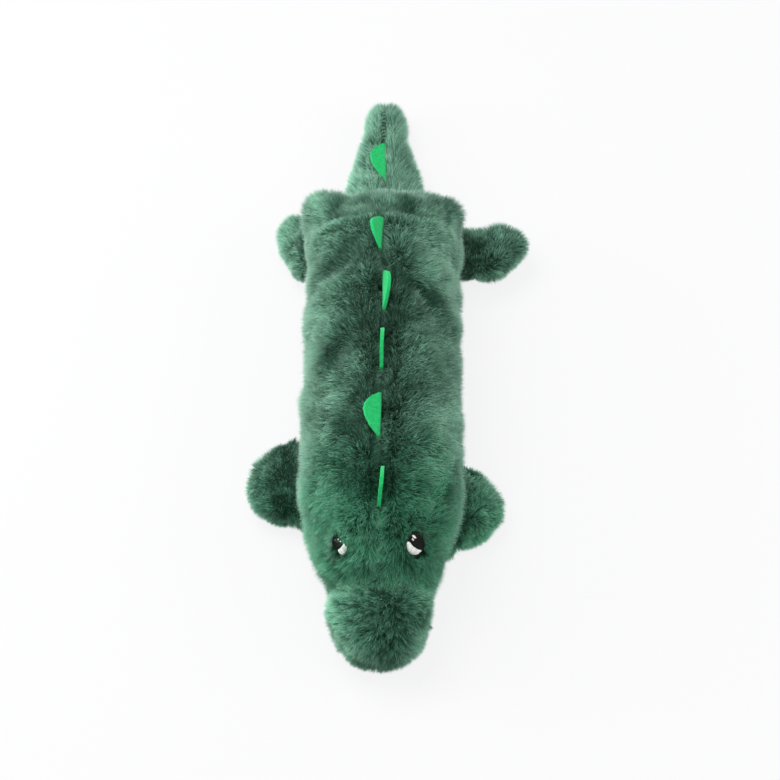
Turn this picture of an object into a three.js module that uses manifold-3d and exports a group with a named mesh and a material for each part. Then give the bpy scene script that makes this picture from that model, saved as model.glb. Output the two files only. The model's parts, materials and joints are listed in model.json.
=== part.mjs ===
// A plush alligator dog toy: a fur sleeve round a crushable drinks bottle, with a stuffed
// snout, tail and paws, felt spikes along its back and a lapped flap that lets the bottle out.
// Millimetres, +Z up. The origin is on the floor under the middle of the belly, the snout
// points to -Y and +X is on the right of someone who faces the snout.
import * as THREE from "three";
import { mergeVertices } from "three/addons/utils/BufferGeometryUtils.js";
import Module from "manifold-3d";

const wasm = await Module();
wasm.setup();

// Clearances.
const gap = 0.3; // between sewn neighbours, and round everything that is fitted
const overrun = 5; // how far a cutting shape runs past what it cuts
const flatCut = 0.5; // how deep the floor flattens the fur

// The bottle that the toy is sized round: a common half-litre drinks bottle.
const bottleDiameter = 65;
const bottleLength = 203;
const bottleWall = 0.7;
const bottleBaseY = 114; // its base, measured back from the middle of the belly
const bottleShoulderLength = 38;
const bottleFootRadius = 6;
const footRoundShare = 0.3; // how far the foot's middle lies in from its corner
const shoulderPower = 1.8; // how full the shoulder is
const bottleRibDepth = 1.2;
const bottleRibPitch = 19;
const bottleRibs = 5;
const firstRibShare = 1.5; // of the pitch, from the base to the first rib
const ribHalfShare = 0.2; // of the pitch, half a rib's width
const neckRadius = 12.4;
const neckLength = 19;
const neckRingRadius = 16;
const neckRingThickness = 2;
const capWall = 1.3;
const capHeight = 14;
const capGripDepth = 0.5;
const capGrips = 20;

// The cloth.
const plush = 9.9; // pile and knitted backing together
const bellyPlush = 5.6; // the same cloth, pressed by the toy's weight
const limbPlush = 6.5; // the same cloth on the small parts
const liningThickness = 1.4;
const bottleSlack = 0.7;

// Where the bottle lies along the toy.
const bottleRadius = bottleDiameter / 2;
const mouthY = bottleBaseY - bottleLength;
const neckStartY = mouthY + neckLength;
const shoulderY = neckStartY + bottleShoulderLength;
const capEndY = mouthY - gap - capWall;
const pouchFrontY = capEndY - bottleSlack;

// The sleeve, which is the body and the head in one.
const cavityRadius = bottleRadius + bottleSlack + liningThickness + gap;
const bodyHalfWidth = cavityRadius + plush;
const bodyHeight = bellyPlush + 2 * cavityRadius + plush;
const bottleAxisZ = bellyPlush + cavityRadius;
const headRoom = 13.3; // of wadding in front of the pouch
const endRoom = 37; // behind the bottle's base, where the flap folds down
const snoutSeamY = pouchFrontY - liningThickness - headRoom;
const rearSeamY = bottleBaseY + endRoom;
const sideSeamZ = 24; // height of the seam between the back and the belly
const seamGrooveWidth = 7;
const seamGrooveDepth = 3.5;

// The closure: the flap is sewn in at the rear seam, and its front edge laps under the hem.
const flapSideReach = 10.3; // from the flap's sides out to the sleeve's
const flapHalfWidth = bodyHalfWidth - flapSideReach;
const flapReach = 43; // from the rear seam forwards to the hem
const hemY = rearSeamY - flapReach;
const endWallReach = 25; // this near the rear seam the flap also forms the end wall
const flapCornerY = rearSeamY - endWallReach;
const liningSetback = 14.5; // the pouch ends this far in front of the hem
const liningMouthY = hemY - liningSetback;
const flapLowShare = 0.5; // of the cavity's radius, how far down the flap's sides reach
const fastenerThickness = 1.2;
const fastenerHalfWidth = 22;
const fastenerWidth = 6.6;
const fastenerSetback = 3.2; // from the hem, along the lap

// The snout.
const snoutLength = 37;
const snoutHalfWidth = 29.3;
const snoutHeight = 52;
const mouthSeamZ = 20;
const squeakerPadding = 5.5; // of wadding round the squeaker, at its closest
const squeakerRadius = snoutHeight / 2 - limbPlush - squeakerPadding;
const squeakerHeight = 13;
const squeakerWall = 1;
const reedRadius = 4;

// The felt spikes.
const feltThickness = 1.8;
const spikeLength = 25;
const spikeHeight = 10.5;
const spikeRoot = 5; // how deep the sewn edge sits below the seam's valley
const spikeRootShare = 0.75; // of the half length that is sewn in, at the back
const spikeToeShare = 0.45; // the same at the front
const spikePeakShare = 0.35; // of the half length, where the highest part starts and ends
const firstSpikeSetback = 18.5; // from the hem to the middle of the first spike
const firstSpikeY = hemY - firstSpikeSetback;
const lastSpikeSetback = 39.5; // from the snout's seam to the middle of the last spike
const spikeLeans = [-35, 25, 0, -62, 0]; // degrees that each spike flops over
const spikePitch = (firstSpikeY - snoutSeamY - lastSpikeSetback) / (spikeLeans.length - 1);
const tailSpikeLean = -58;

// The tail.
const tailLength = 93;
const tailHalfWidth = 26;
const tailHeight = 29;
const tailSpikeSetback = 39; // from the rear seam
const tailSpikeSink = 2;
const limbFloorGap = 0.4; // how far limbs hang clear of the floor
const limbRootOverlap = 3; // how far a limb reaches into its seam before it is trimmed
const leastRoom = 1.5; // the thinnest that a limb's wadding gets before it ends

// The paws: the middle of the root seam, the size, and how each one lies.
const pawHeight = 25;
const frontPawLength = 34;
const frontPawHalfWidth = 26;
const rearPawLength = 43;
const rearPawHalfWidth = 18.5;
const leftFrontPawY = -25;
const rightFrontPawY = -38;
const leftRearPawY = 119;
const rightRearPawY = 119.5;
const frontPawYaw = -36; // degrees that a paw points backwards
const leftRearYaw = 42;
const rightRearYaw = 27;
const rightRearLift = 12; // degrees, the one paw that rests raised
const pawSwing = 40; // degrees from flat on the floor to its highest
const pawTrims = 4;
const rightFrontTuck = 9; // how far a paw is pushed in under the body
const leftRearTuck = 16;
const pawSeamShare = 0.45; // of a paw's height, where its top meets its sole
const frontSeamShare = 0.998; // of the body's half width, where a front paw is sewn on
const rearSeamShare = 1.014; // the same for a rear paw

// The embroidered eyes.
const eyeWidth = 9;
const eyeLength = 11.5;
const eyeTilt = 27; // degrees, with the far end outwards
const eyeDepth = 3; // how far the stitching lies below the tips of the pile
const eyeThickness = 1.2;
const eyeSpread = 20; // from the middle of the head to an eye
const eyeShift = -1.5; // the head leans a little, so both eyes lie to one side
const eyeSetback = 16; // from the snout's seam
const eyeY = snoutSeamY + eyeSetback;
const crescentDepth = 3.6;
const sparkShift = 3.4; // from the eye's middle, towards its far end
const sparkRadius = 1.1;

const fur = new THREE.MeshStandardMaterial({ color: "#3c6b54", roughness: 0.95 });
const paleFur = new THREE.MeshStandardMaterial({ color: "#4a7f66", roughness: 0.95 });
const felt = new THREE.MeshStandardMaterial({ color: "#22b86c", roughness: 0.9 });
const liningCloth = new THREE.MeshStandardMaterial({ color: "#2f4f40", roughness: 0.85 });
const wadding = new THREE.MeshStandardMaterial({ color: "#f1f1ee", roughness: 1 });
const bottlePlastic = new THREE.MeshStandardMaterial({ color: "#d7e6ea", roughness: 0.15 });
const capPlastic = new THREE.MeshStandardMaterial({ color: "#f4f6f7", roughness: 0.4 });
const whitePlastic = new THREE.MeshStandardMaterial({ color: "#e9e9e4", roughness: 0.5 });
const fastenerTape = new THREE.MeshStandardMaterial({ color: "#24543f", roughness: 0.8 });
const blackThread = new THREE.MeshStandardMaterial({ color: "#121412", roughness: 0.5 });
const whiteThread = new THREE.MeshStandardMaterial({ color: "#f2f2ee", roughness: 0.5 });

const toy = new THREE.Group();

// A closed geometry becomes a solid that can be cut and joined.
function solid(geometry) {
  const bare = new THREE.BufferGeometry();
  bare.setAttribute("position", geometry.getAttribute("position"));
  bare.setIndex(geometry.index);
  const merged = mergeVertices(bare, 1e-4);
  const corners = merged.index.array;
  const faces = [];
  for (let i = 0; i < corners.length; i += 3) {
    const [a, b, c] = corners.subarray(i, i + 3);
    if (a !== b && b !== c && c !== a) faces.push(a, b, c);
  }
  const made = new wasm.Mesh({
    numProp: 3,
    vertProperties: merged.attributes.position.array,
    triVerts: new Uint32Array(faces),
  });
  const shape = new wasm.Manifold(made);
  if (shape.volume() > 0) return shape;
  made.triVerts = new Uint32Array(faces.reverse());
  return new wasm.Manifold(made);
}

// A finished solid becomes a named mesh of the toy.
function addPart(name, shape, material) {
  const cut = shape.getMesh();
  const geometry = new THREE.BufferGeometry();
  geometry.setAttribute("position", new THREE.BufferAttribute(cut.vertProperties, 3));
  geometry.setIndex(new THREE.BufferAttribute(cut.triVerts, 1));
  const flat = geometry.toNonIndexed();
  flat.computeVertexNormals();
  const mesh = new THREE.Mesh(flat, material);
  mesh.name = name;
  toy.add(mesh);
}

// A block between two corners.
function block(x0, y0, z0, x1, y1, z1) {
  const box = new THREE.BoxGeometry(x1 - x0, y1 - y0, z1 - z0);
  box.translate((x0 + x1) / 2, (y0 + y1) / 2, (z0 + z1) / 2);
  return solid(box);
}

// A big block that stands for everything on one side of a plane.
const reach = 2 * (rearSeamY + tailLength);
const above = (z) => block(-reach, -reach, z, reach, reach, reach);
const below = (z) => block(-reach, -reach, -reach, reach, reach, z);
const rightOf = (x) => block(x, -reach, -reach, reach, reach, reach);
const leftOf = (x) => block(-reach, -reach, -reach, x, reach, reach);
const behind = (y) => block(-reach, y, -reach, reach, reach, reach);
const before = (y) => block(-reach, -reach, -reach, reach, y, reach);

// A skin over closed rings that all have as many points, with both ends filled.
function loft(rings) {
  const count = rings[0].length;
  const points = rings.flat();
  const faces = [];
  for (let r = 0; r + 1 < rings.length; r++) {
    for (let i = 0; i < count; i++) {
      const a = r * count + i;
      const b = r * count + ((i + 1) % count);
      faces.push(a, b, a + count, b, b + count, a + count);
    }
  }
  [0, rings.length - 1].forEach((r) => {
    const middle = new THREE.Vector3();
    rings[r].forEach((p) => middle.addScaledVector(p, 1 / count));
    points.push(middle);
    for (let i = 0; i < count; i++) {
      const a = r * count + i;
      const b = r * count + ((i + 1) % count);
      faces.push(points.length - 1, r ? a : b, r ? b : a);
    }
  });
  const geometry = new THREE.BufferGeometry().setFromPoints(points);
  geometry.setIndex(faces);
  return solid(geometry);
}

// One closed section across Y: round above its widest line and squarer below it.
function section(y, halfWidth, low, high, { points, topPower, bottomPower }) {
  const middle = (low + high) / 2;
  const half = (high - low) / 2;
  const ring = [];
  for (let i = 0; i < points; i++) {
    const turn = (2 * Math.PI * i) / points;
    const power = Math.sin(turn) < 0 ? bottomPower : topPower;
    const x = Math.sign(Math.cos(turn)) * Math.abs(Math.cos(turn)) ** (2 / power);
    const z = Math.sign(Math.sin(turn)) * Math.abs(Math.sin(turn)) ** (2 / power);
    ring.push(new THREE.Vector3(halfWidth * x, y, middle + half * z));
  }
  return ring;
}

// A stuffed form along Y from a table of shares: place, half width, underside and top.
// The inset draws its skin inwards, to the backing of the cloth or the wadding behind it, and
// leaves out the ends that are too thin for that. The end inset draws the ends in too.
function stuffedForm(form, inset, floorInset = inset, endInset = 0) {
  const rows = form.shares
    .map(([along, wide, low, high]) => ({
      y: form.start + (form.end - form.start) * along,
      halfWidth: form.halfWidth * wide - inset,
      low: form.floor + form.height * low + floorInset,
      high: form.floor + form.height * high - inset,
    }))
    .filter((row) => row.halfWidth > leastRoom && row.high - row.low > leastRoom);
  const middle = (rows[0].y + rows.at(-1).y) / 2;
  const half = Math.abs(rows[0].y - rows.at(-1).y) / 2;
  const rings = rows.map((row) => {
    const y = middle + ((row.y - middle) * (half - endInset)) / half;
    return section(y, row.halfWidth, row.low, row.high, form);
  });
  return loft(rings);
}

const sleeveForm = {
  start: snoutSeamY,
  end: rearSeamY,
  halfWidth: bodyHalfWidth,
  height: bodyHeight + flatCut,
  floor: -flatCut,
  points: 24,
  topPower: 2.25,
  bottomPower: 2.9,
  shares: [
    [0, 0.62, 0, 0.62],
    [0.023, 0.68, 0, 0.73],
    [0.062, 0.765, 0, 0.83],
    [0.109, 0.885, 0, 0.905],
    [0.179, 1, 0, 0.955],
    [0.237, 1.025, 0, 0.988],
    [0.288, 1.025, 0, 1],
    [0.412, 1.005, 0, 1],
    [0.607, 1, 0, 1],
    [0.77, 1, 0, 1],
    [0.817, 1.01, 0, 0.99],
    [0.848, 1.025, 0, 0.972],
    [0.88, 1.045, 0, 0.935],
    [0.911, 1.06, 0, 0.88],
    [0.942, 1.055, 0.005, 0.8],
    [0.973, 0.985, 0.03, 0.67],
    [0.992, 0.84, 0.09, 0.52],
    [1, 0.66, 0.14, 0.42],
  ],
};

const snoutForm = {
  start: snoutSeamY,
  end: snoutSeamY - snoutLength,
  halfWidth: snoutHalfWidth,
  height: snoutHeight + flatCut,
  floor: -flatCut,
  points: 20,
  topPower: 2.5,
  bottomPower: 2.8,
  shares: [
    [0, 1, 0, 0.99],
    [0.2, 0.985, 0, 0.965],
    [0.43, 0.91, 0, 0.925],
    [0.64, 0.79, 0, 0.87],
    [0.8, 0.635, 0.07, 0.79],
    [0.91, 0.47, 0.16, 0.7],
    [0.975, 0.3, 0.25, 0.6],
    [1, 0.17, 0.33, 0.52],
  ],
};

const tailForm = {
  start: rearSeamY - limbRootOverlap,
  end: rearSeamY + tailLength,
  halfWidth: tailHalfWidth,
  height: tailHeight,
  floor: limbFloorGap - flatCut,
  points: 16,
  topPower: 2.2,
  bottomPower: 2.6,
  shares: [
    [0, 0.72, 0.66, 0.8],
    [0.035, 0.78, 0.62, 0.82],
    [0.1, 0.92, 0.34, 0.88],
    [0.19, 1, 0.06, 0.95],
    [0.28, 0.99, 0, 1],
    [0.42, 0.89, 0, 0.98],
    [0.56, 0.735, 0, 0.93],
    [0.7, 0.615, 0, 0.87],
    [0.84, 0.515, 0, 0.79],
    [0.94, 0.45, 0.04, 0.72],
    [0.985, 0.35, 0.12, 0.63],
    [1, 0.22, 0.2, 0.54],
  ],
};

const pawForm = {
  start: -limbRootOverlap,
  height: pawHeight,
  floor: limbFloorGap - flatCut,
  points: 14,
  topPower: 2.2,
  bottomPower: 2.5,
  shares: [
    [0, 0.82, 0.74, 0.93],
    [0.1, 0.86, 0.7, 0.94],
    [0.24, 0.95, 0.36, 0.97],
    [0.42, 1, 0.07, 1],
    [0.62, 0.985, 0, 0.98],
    [0.8, 0.85, 0.02, 0.9],
    [0.93, 0.6, 0.12, 0.76],
    [1, 0.33, 0.26, 0.6],
  ],
};

// The height of the top of the sleeve at a place along it.
function sleeveTop(y) {
  const along = (y - sleeveForm.start) / (sleeveForm.end - sleeveForm.start);
  const rows = sleeveForm.shares;
  const next = Math.max(1, rows.findIndex(([place]) => place >= along));
  const [a, , , high0] = rows[next - 1];
  const [b, , , high1] = rows[next];
  const share = high0 + ((high1 - high0) * (along - a)) / (b - a);
  return sleeveForm.floor + sleeveForm.height * share;
}

// The height of the sleeve's outside at a place along and across it.
function sleeveSurface(y, x) {
  const top = sleeveTop(y);
  const middle = top / 2;
  const share = (1 - (x / bodyHalfWidth) ** sleeveForm.topPower) ** (1 / sleeveForm.topPower);
  return middle + (top - middle) * share;
}

// A solid of revolution about a line along Y, from a closed profile of places and radii.
function turned(profile, segments, axisZ) {
  const points = profile.map(([y, radius]) => new THREE.Vector2(radius, y));
  return solid(new THREE.LatheGeometry([...points, points[0]], segments)).translate([0, 0, axisZ]);
}

// An outline whose x and y are the toy's y and z, given a thickness across the toy.
function crosswise(outline, halfWidth) {
  const sheet = new THREE.ExtrudeGeometry(outline, {
    depth: 2 * halfWidth,
    bevelEnabled: false,
    curveSegments: 6,
  });
  sheet.translate(0, 0, -halfWidth);
  sheet.rotateY(Math.PI / 2);
  sheet.rotateX(Math.PI / 2);
  return solid(sheet);
}

// The sleeve as one closed shell of cloth, open to the snout, before it is cut into pieces.
const sleeveOutside = stuffedForm(sleeveForm, 0).intersect(above(0));
const sleeveCavity = stuffedForm(sleeveForm, plush, bellyPlush + flatCut).intersect(
  before(rearSeamY - plush),
);
const sleeveShell = sleeveOutside
  .subtract(sleeveCavity)
  .subtract(sleeveCavity.intersect(before(snoutSeamY + plush)).translate([0, -plush, 0]));
const sleeveClearance = stuffedForm(sleeveForm, -gap);
const backHalf = sleeveShell.intersect(above(sideSeamZ + gap / 2));

// The lap is a barrel about the flap's seam that passes through the hem all along it.
const hemAngle = Math.atan2(sleeveTop(hemY) - sideSeamZ, hemY - rearSeamY);
const lapRadius = Math.hypot(rearSeamY - hemY, sleeveTop(hemY) - sideSeamZ);
const barrelSteps = 12;
function lapBarrel(spare, sideSpare) {
  const halfWidth = flapHalfWidth + sideSpare;
  const profile = [new THREE.Vector2(0, -halfWidth)];
  for (let i = 0; i <= barrelSteps; i++) {
    const x = halfWidth * ((2 * i) / barrelSteps - 1);
    const rise = sleeveSurface(hemY, Math.abs(x)) - sideSeamZ;
    profile.push(new THREE.Vector2(Math.hypot(rearSeamY - hemY, rise) + spare, x));
  }
  profile.push(new THREE.Vector2(0, halfWidth), profile[0]);
  const barrel = new THREE.LatheGeometry(profile, 72);
  barrel.rotateZ(Math.PI / 2);
  barrel.translate(0, rearSeamY, sideSeamZ);
  return solid(barrel);
}

// Where the flap is: inside the barrel, over the bottle and behind it.
function flapZone(spare) {
  const lowZ = bottleAxisZ + cavityRadius * flapLowShare;
  const room = above(lowZ - spare).add(behind(flapCornerY - spare));
  return lapBarrel(spare, spare).intersect(room);
}

// A strip let into the lap, between two depths from the barrel.
function lapStrip(inner, outer, spare) {
  const from = hemAngle + (fastenerSetback - spare) / lapRadius;
  const to = from + (fastenerWidth + 2 * spare) / lapRadius;
  const wedge = new THREE.Shape();
  wedge.moveTo(0, 0);
  wedge.lineTo(2 * lapRadius * Math.cos(from), 2 * lapRadius * Math.sin(from));
  wedge.lineTo(2 * lapRadius * Math.cos(to), 2 * lapRadius * Math.sin(to));
  wedge.closePath();
  const slice = crosswise(wedge, fastenerHalfWidth + spare).translate([0, rearSeamY, sideSeamZ]);
  return lapBarrel(outer, 0).subtract(lapBarrel(inner, 0)).intersect(slice);
}

// The valley that the centre seam pulls into the pile.
function seamGroove() {
  const rings = sleeveForm.shares.map(([along]) => {
    const y = sleeveForm.start + (sleeveForm.end - sleeveForm.start) * along;
    const top = sleeveTop(y);
    return [
      new THREE.Vector3(0, y, top - seamGrooveDepth),
      new THREE.Vector3(seamGrooveWidth / 2, y, top + gap),
      new THREE.Vector3(0, y, top + overrun),
      new THREE.Vector3(-seamGrooveWidth / 2, y, top + gap),
    ];
  });
  return loft(rings);
}

// A felt spike: a half-round blade with its point forwards and a straight edge in the seam.
// The spare is the clearance that its slot keeps round it.
function feltSpike(lean, root, spare) {
  const back = spikeLength / 2 + spare;
  const blade = new THREE.Shape();
  blade.moveTo(-back, -spare);
  const peak = back * spikePeakShare;
  blade.quadraticCurveTo(-peak, spikeHeight + spare, peak, spikeHeight + spare);
  blade.quadraticCurveTo(back, spikeHeight + spare, back, -spare);
  blade.closePath();
  const edge = new THREE.Shape();
  edge.moveTo(-back * spikeRootShare, -root - spare);
  edge.lineTo(back * spikeToeShare, -root - spare);
  edge.lineTo(back * spikeToeShare, feltThickness);
  edge.lineTo(-back * spikeRootShare, feltThickness);
  edge.closePath();
  const half = feltThickness / 2 + spare;
  return crosswise(blade, half).rotate([0, lean, 0]).add(crosswise(edge, half));
}

// The back: two panels of plush, sewn down the middle, with the spikes caught in the seam.
const spikeShapes = spikeLeans.map((lean, i) => {
  const y = firstSpikeY - i * spikePitch;
  const slope = Math.atan2(
    sleeveTop(y + spikeLength / 2) - sleeveTop(y - spikeLength / 2),
    spikeLength,
  );
  const place = (shape) =>
    shape
      .rotate([THREE.MathUtils.radToDeg(slope), 0, 0])
      .translate([0, y, sleeveTop(y) - seamGrooveDepth]);
  return {
    blade: place(feltSpike(lean, spikeRoot, 0)),
    slot: place(feltSpike(lean, spikeRoot, gap)),
  };
});

// A place on an eye's long axis, this far from its middle towards its far end.
function onEye(side, shift) {
  const turn = THREE.MathUtils.degToRad(eyeTilt);
  const x = side * (eyeSpread + shift * Math.sin(turn)) + eyeShift;
  return [x, eyeY + shift * Math.cos(turn)];
}

// An eye's outline, pressed straight down into the fur of the head.
function eyeOval(side, grow, shift) {
  const turn = -side * THREE.MathUtils.degToRad(eyeTilt);
  const wide = eyeWidth / 2 + grow;
  const long = eyeLength / 2 + grow;
  const outline = new THREE.Shape();
  outline.absellipse(0, 0, wide, long, 0, 2 * Math.PI, false, turn);
  const prism = new THREE.ExtrudeGeometry(outline, {
    depth: bodyHeight,
    bevelEnabled: false,
    curveSegments: 9,
  });
  prism.translate(...onEye(side, shift), sideSeamZ);
  return solid(prism);
}

function sparkPeg(side, grow) {
  const peg = new THREE.CylinderGeometry(sparkRadius + grow, sparkRadius + grow, bodyHeight, 10);
  peg.rotateX(Math.PI / 2);
  peg.translate(...onEye(side, sparkShift), bodyHeight);
  return solid(peg);
}

const underEye = eyeDepth + eyeThickness;
const stitchLayer = stuffedForm(sleeveForm, eyeDepth).subtract(stuffedForm(sleeveForm, underEye));
const eyeFloor = stuffedForm(sleeveForm, underEye + gap);

function backPanel(side) {
  let panel = backHalf.intersect(side > 0 ? rightOf(gap / 2) : leftOf(-gap / 2));
  panel = panel.subtract(flapZone(gap / 2));
  panel = panel.subtract(seamGroove());
  spikeShapes.forEach(({ slot }) => {
    panel = panel.subtract(slot);
  });
  panel = panel.subtract(lapStrip(-gap, gap / 2 + fastenerThickness + gap, gap));
  return panel.subtract(eyeOval(side, gap, 0).subtract(eyeFloor));
}

addPart("back_panel_left", backPanel(-1), fur);
addPart("back_panel_right", backPanel(1), fur);
addPart("belly_panel", sleeveShell.intersect(below(sideSeamZ - gap / 2)), fur);
spikeShapes.forEach(({ blade }, i) => addPart(`spike_${i + 1}`, blade, felt));

[-1, 1].forEach((side) => {
  const name = side > 0 ? "right" : "left";
  const raised = eyeOval(side, gap, crescentDepth);
  const white = eyeOval(side, 0, 0).subtract(raised).intersect(stitchLayer);
  const black = eyeOval(side, 0, 0).intersect(eyeOval(side, 0, crescentDepth));
  const spark = sparkPeg(side, 0);
  addPart(`eye_white_${name}`, white, whiteThread);
  const pupil = black.intersect(stitchLayer).subtract(sparkPeg(side, gap));
  addPart(`eye_black_${name}`, pupil, blackThread);
  addPart(`eye_spark_${name}`, spark.intersect(stitchLayer), whiteThread);
});

// The closure.
const loopSeat = lapStrip(-gap / 2 - fastenerThickness - gap, gap, gap);
addPart("rear_flap", backHalf.intersect(flapZone(-gap / 2)).subtract(loopSeat), fur);
addPart("hook_strip", lapStrip(gap / 2, gap / 2 + fastenerThickness, 0), fastenerTape);
addPart("loop_strip", lapStrip(-gap / 2 - fastenerThickness, -gap / 2, 0), fastenerTape);

// The bottle's outside, from the middle of its base to the rim of its neck.
const shoulderSteps = 6;
function shoulderRadius(share) {
  return neckRadius + (bottleRadius - neckRadius) * (1 - share ** shoulderPower);
}
function bottleProfile(inset) {
  const foot = bottleFootRadius;
  const corner = foot * footRoundShare + inset * Math.SQRT1_2;
  const profile = [
    [bottleBaseY - inset, 0],
    [bottleBaseY - inset, bottleRadius - foot],
    [bottleBaseY - corner, bottleRadius - corner],
    [bottleBaseY - foot, bottleRadius - inset],
  ];
  const firstRib = bottleBaseY - bottleRibPitch * firstRibShare;
  const ribHalf = bottleRibPitch * ribHalfShare;
  for (let i = 0; i < bottleRibs; i++) {
    const y = firstRib - i * bottleRibPitch;
    profile.push([y + ribHalf, bottleRadius - inset]);
    profile.push([y, bottleRadius - bottleRibDepth - inset]);
    profile.push([y - ribHalf, bottleRadius - inset]);
  }
  for (let i = 0; i < shoulderSteps; i++) {
    const share = i / shoulderSteps;
    profile.push([shoulderY - bottleShoulderLength * share, shoulderRadius(share) - inset]);
  }
  profile.push([neckStartY, neckRadius - inset]);
  if (!inset) {
    const ringY = neckStartY - neckRingThickness;
    profile.push([ringY, neckRadius], [ringY, neckRingRadius]);
    profile.push([ringY - neckRingThickness, neckRingRadius]);
    profile.push([ringY - neckRingThickness, neckRadius]);
  }
  profile.push([mouthY, neckRadius - inset]);
  return profile;
}
const bottleShape = turned(
  [...bottleProfile(0), ...bottleProfile(bottleWall).reverse()],
  20,
  bottleAxisZ,
);
addPart("bottle", bottleShape, bottlePlastic);

// The screw cap, with a ring of grips round it.
const capBore = neckRadius + gap;
const capRadius = capBore + capWall;
function screwCap() {
  const outline = new THREE.Shape();
  for (let i = 0; i < 2 * capGrips; i++) {
    const turn = (Math.PI * i) / capGrips;
    const radius = capRadius + (i % 2 ? capGripDepth : 0);
    if (i) outline.lineTo(radius * Math.cos(turn), radius * Math.sin(turn));
    else outline.moveTo(radius, 0);
  }
  outline.closePath();
  const drum = new THREE.ExtrudeGeometry(outline, { depth: capHeight, bevelEnabled: false });
  drum.rotateX(-Math.PI / 2);
  drum.translate(0, capEndY, bottleAxisZ);
  const bore = turned(
    [[capEndY + capWall, 0], [capEndY + capWall, capBore],
      [capEndY + capHeight + overrun, capBore], [capEndY + capHeight + overrun, 0]],
    24,
    bottleAxisZ,
  );
  return solid(drum).subtract(bore);
}
addPart("bottle_cap", screwCap(), capPlastic);

// The pouch that holds the bottle, open at the flap. It follows the bottle's shoulder.
const pouchFrontRadius = capRadius + capGripDepth + bottleSlack;
function pouchSolid(wall) {
  const profile = [
    [liningMouthY + (wall ? 0 : overrun), 0],
    [liningMouthY + (wall ? 0 : overrun), bottleRadius + bottleSlack + wall],
  ];
  for (let i = 0; i < shoulderSteps; i++) {
    const share = i / shoulderSteps;
    const radius = shoulderRadius(share) + bottleSlack + wall;
    profile.push([shoulderY - bottleShoulderLength * share, radius]);
  }
  profile.push([pouchFrontY - wall, pouchFrontRadius + wall], [pouchFrontY - wall, 0]);
  return turned(profile, 24, bottleAxisZ);
}
addPart("lining_pouch", pouchSolid(liningThickness).subtract(pouchSolid(0)), liningCloth);

// The wadding in front of the bottle.
const headSpace = stuffedForm(sleeveForm, plush + gap, bellyPlush + flatCut + gap);
addPart(
  "head_stuffing",
  headSpace
    .intersect(behind(snoutSeamY))
    .intersect(before(pouchFrontY - liningThickness - gap)),
  wadding,
);

// The snout: a top and a chin, sewn at the mouth line, round its own wadding and a squeaker.
const snoutFrontY = snoutForm.end;
const snoutOutside = stuffedForm(snoutForm, 0)
  .intersect(above(0))
  .intersect(before(snoutSeamY - gap));
const snoutCavity = stuffedForm(snoutForm, limbPlush).intersect(behind(snoutFrontY + limbPlush));
addPart("snout_top", snoutOutside.subtract(snoutCavity).intersect(above(mouthSeamZ + gap / 2)), fur);
addPart(
  "snout_chin",
  snoutOutside.subtract(snoutCavity).intersect(below(mouthSeamZ - gap / 2)),
  fur,
);
const squeakerZ = snoutHeight / 2;
const squeakerFrontY = snoutSeamY - gap - squeakerHeight;
function squeakerDisc(radius, from, to) {
  return turned([[from, 0], [from, radius], [to, radius], [to, 0]], 16, squeakerZ);
}
addPart(
  "snout_stuffing",
  stuffedForm(snoutForm, limbPlush + gap)
    .intersect(behind(snoutFrontY + limbPlush + gap))
    .intersect(before(snoutSeamY - gap))
    .subtract(squeakerDisc(squeakerRadius + gap, squeakerFrontY - gap, snoutSeamY)),
  wadding,
);
const reedTipY = squeakerFrontY + squeakerHeight / 2;
addPart(
  "squeaker_case",
  squeakerDisc(squeakerRadius, squeakerFrontY, snoutSeamY - gap)
    .subtract(squeakerDisc(
      squeakerRadius - squeakerWall,
      squeakerFrontY + squeakerWall,
      snoutSeamY - gap - squeakerWall,
    ))
    .subtract(squeakerDisc(reedRadius + gap, squeakerFrontY - overrun, reedTipY)),
  whitePlastic,
);
addPart(
  "squeaker_reed",
  squeakerDisc(reedRadius, squeakerFrontY, reedTipY)
    .subtract(squeakerDisc(reedRadius - squeakerWall, reedTipY - squeakerWall, reedTipY + gap))
    .subtract(squeakerDisc(squeakerWall, squeakerFrontY - gap, reedTipY)),
  whitePlastic,
);

// The wadding that fills a limb's skin.
function waddingIn(form) {
  return stuffedForm(form, limbPlush + gap, limbPlush + gap, gap);
}

// The tail: two sides of plush over wadding, with its root pinched flat into the rear seam.
const tailOutside = stuffedForm(tailForm, 0).intersect(above(limbFloorGap)).subtract(sleeveClearance);
const tailSkin = tailOutside.subtract(stuffedForm(tailForm, limbPlush));
const tailTopZ = tailForm.floor + tailForm.height;
const tailSpikeY = rearSeamY + tailSpikeSetback;
const onTail = (shape) => shape.translate([0, tailSpikeY, tailTopZ - tailSpikeSink]);
const tailSpikeRoot = limbPlush - tailSpikeSink - gap;
const tailSlot = onTail(feltSpike(tailSpikeLean, tailSpikeRoot, gap));
addPart("tail_left", tailSkin.intersect(leftOf(-gap / 2)).subtract(tailSlot), paleFur);
addPart("tail_right", tailSkin.intersect(rightOf(gap / 2)).subtract(tailSlot), paleFur);
addPart("tail_stuffing", waddingIn(tailForm), wadding);
addPart("tail_spike", onTail(feltSpike(tailSpikeLean, tailSpikeRoot, 0)), felt);

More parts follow.
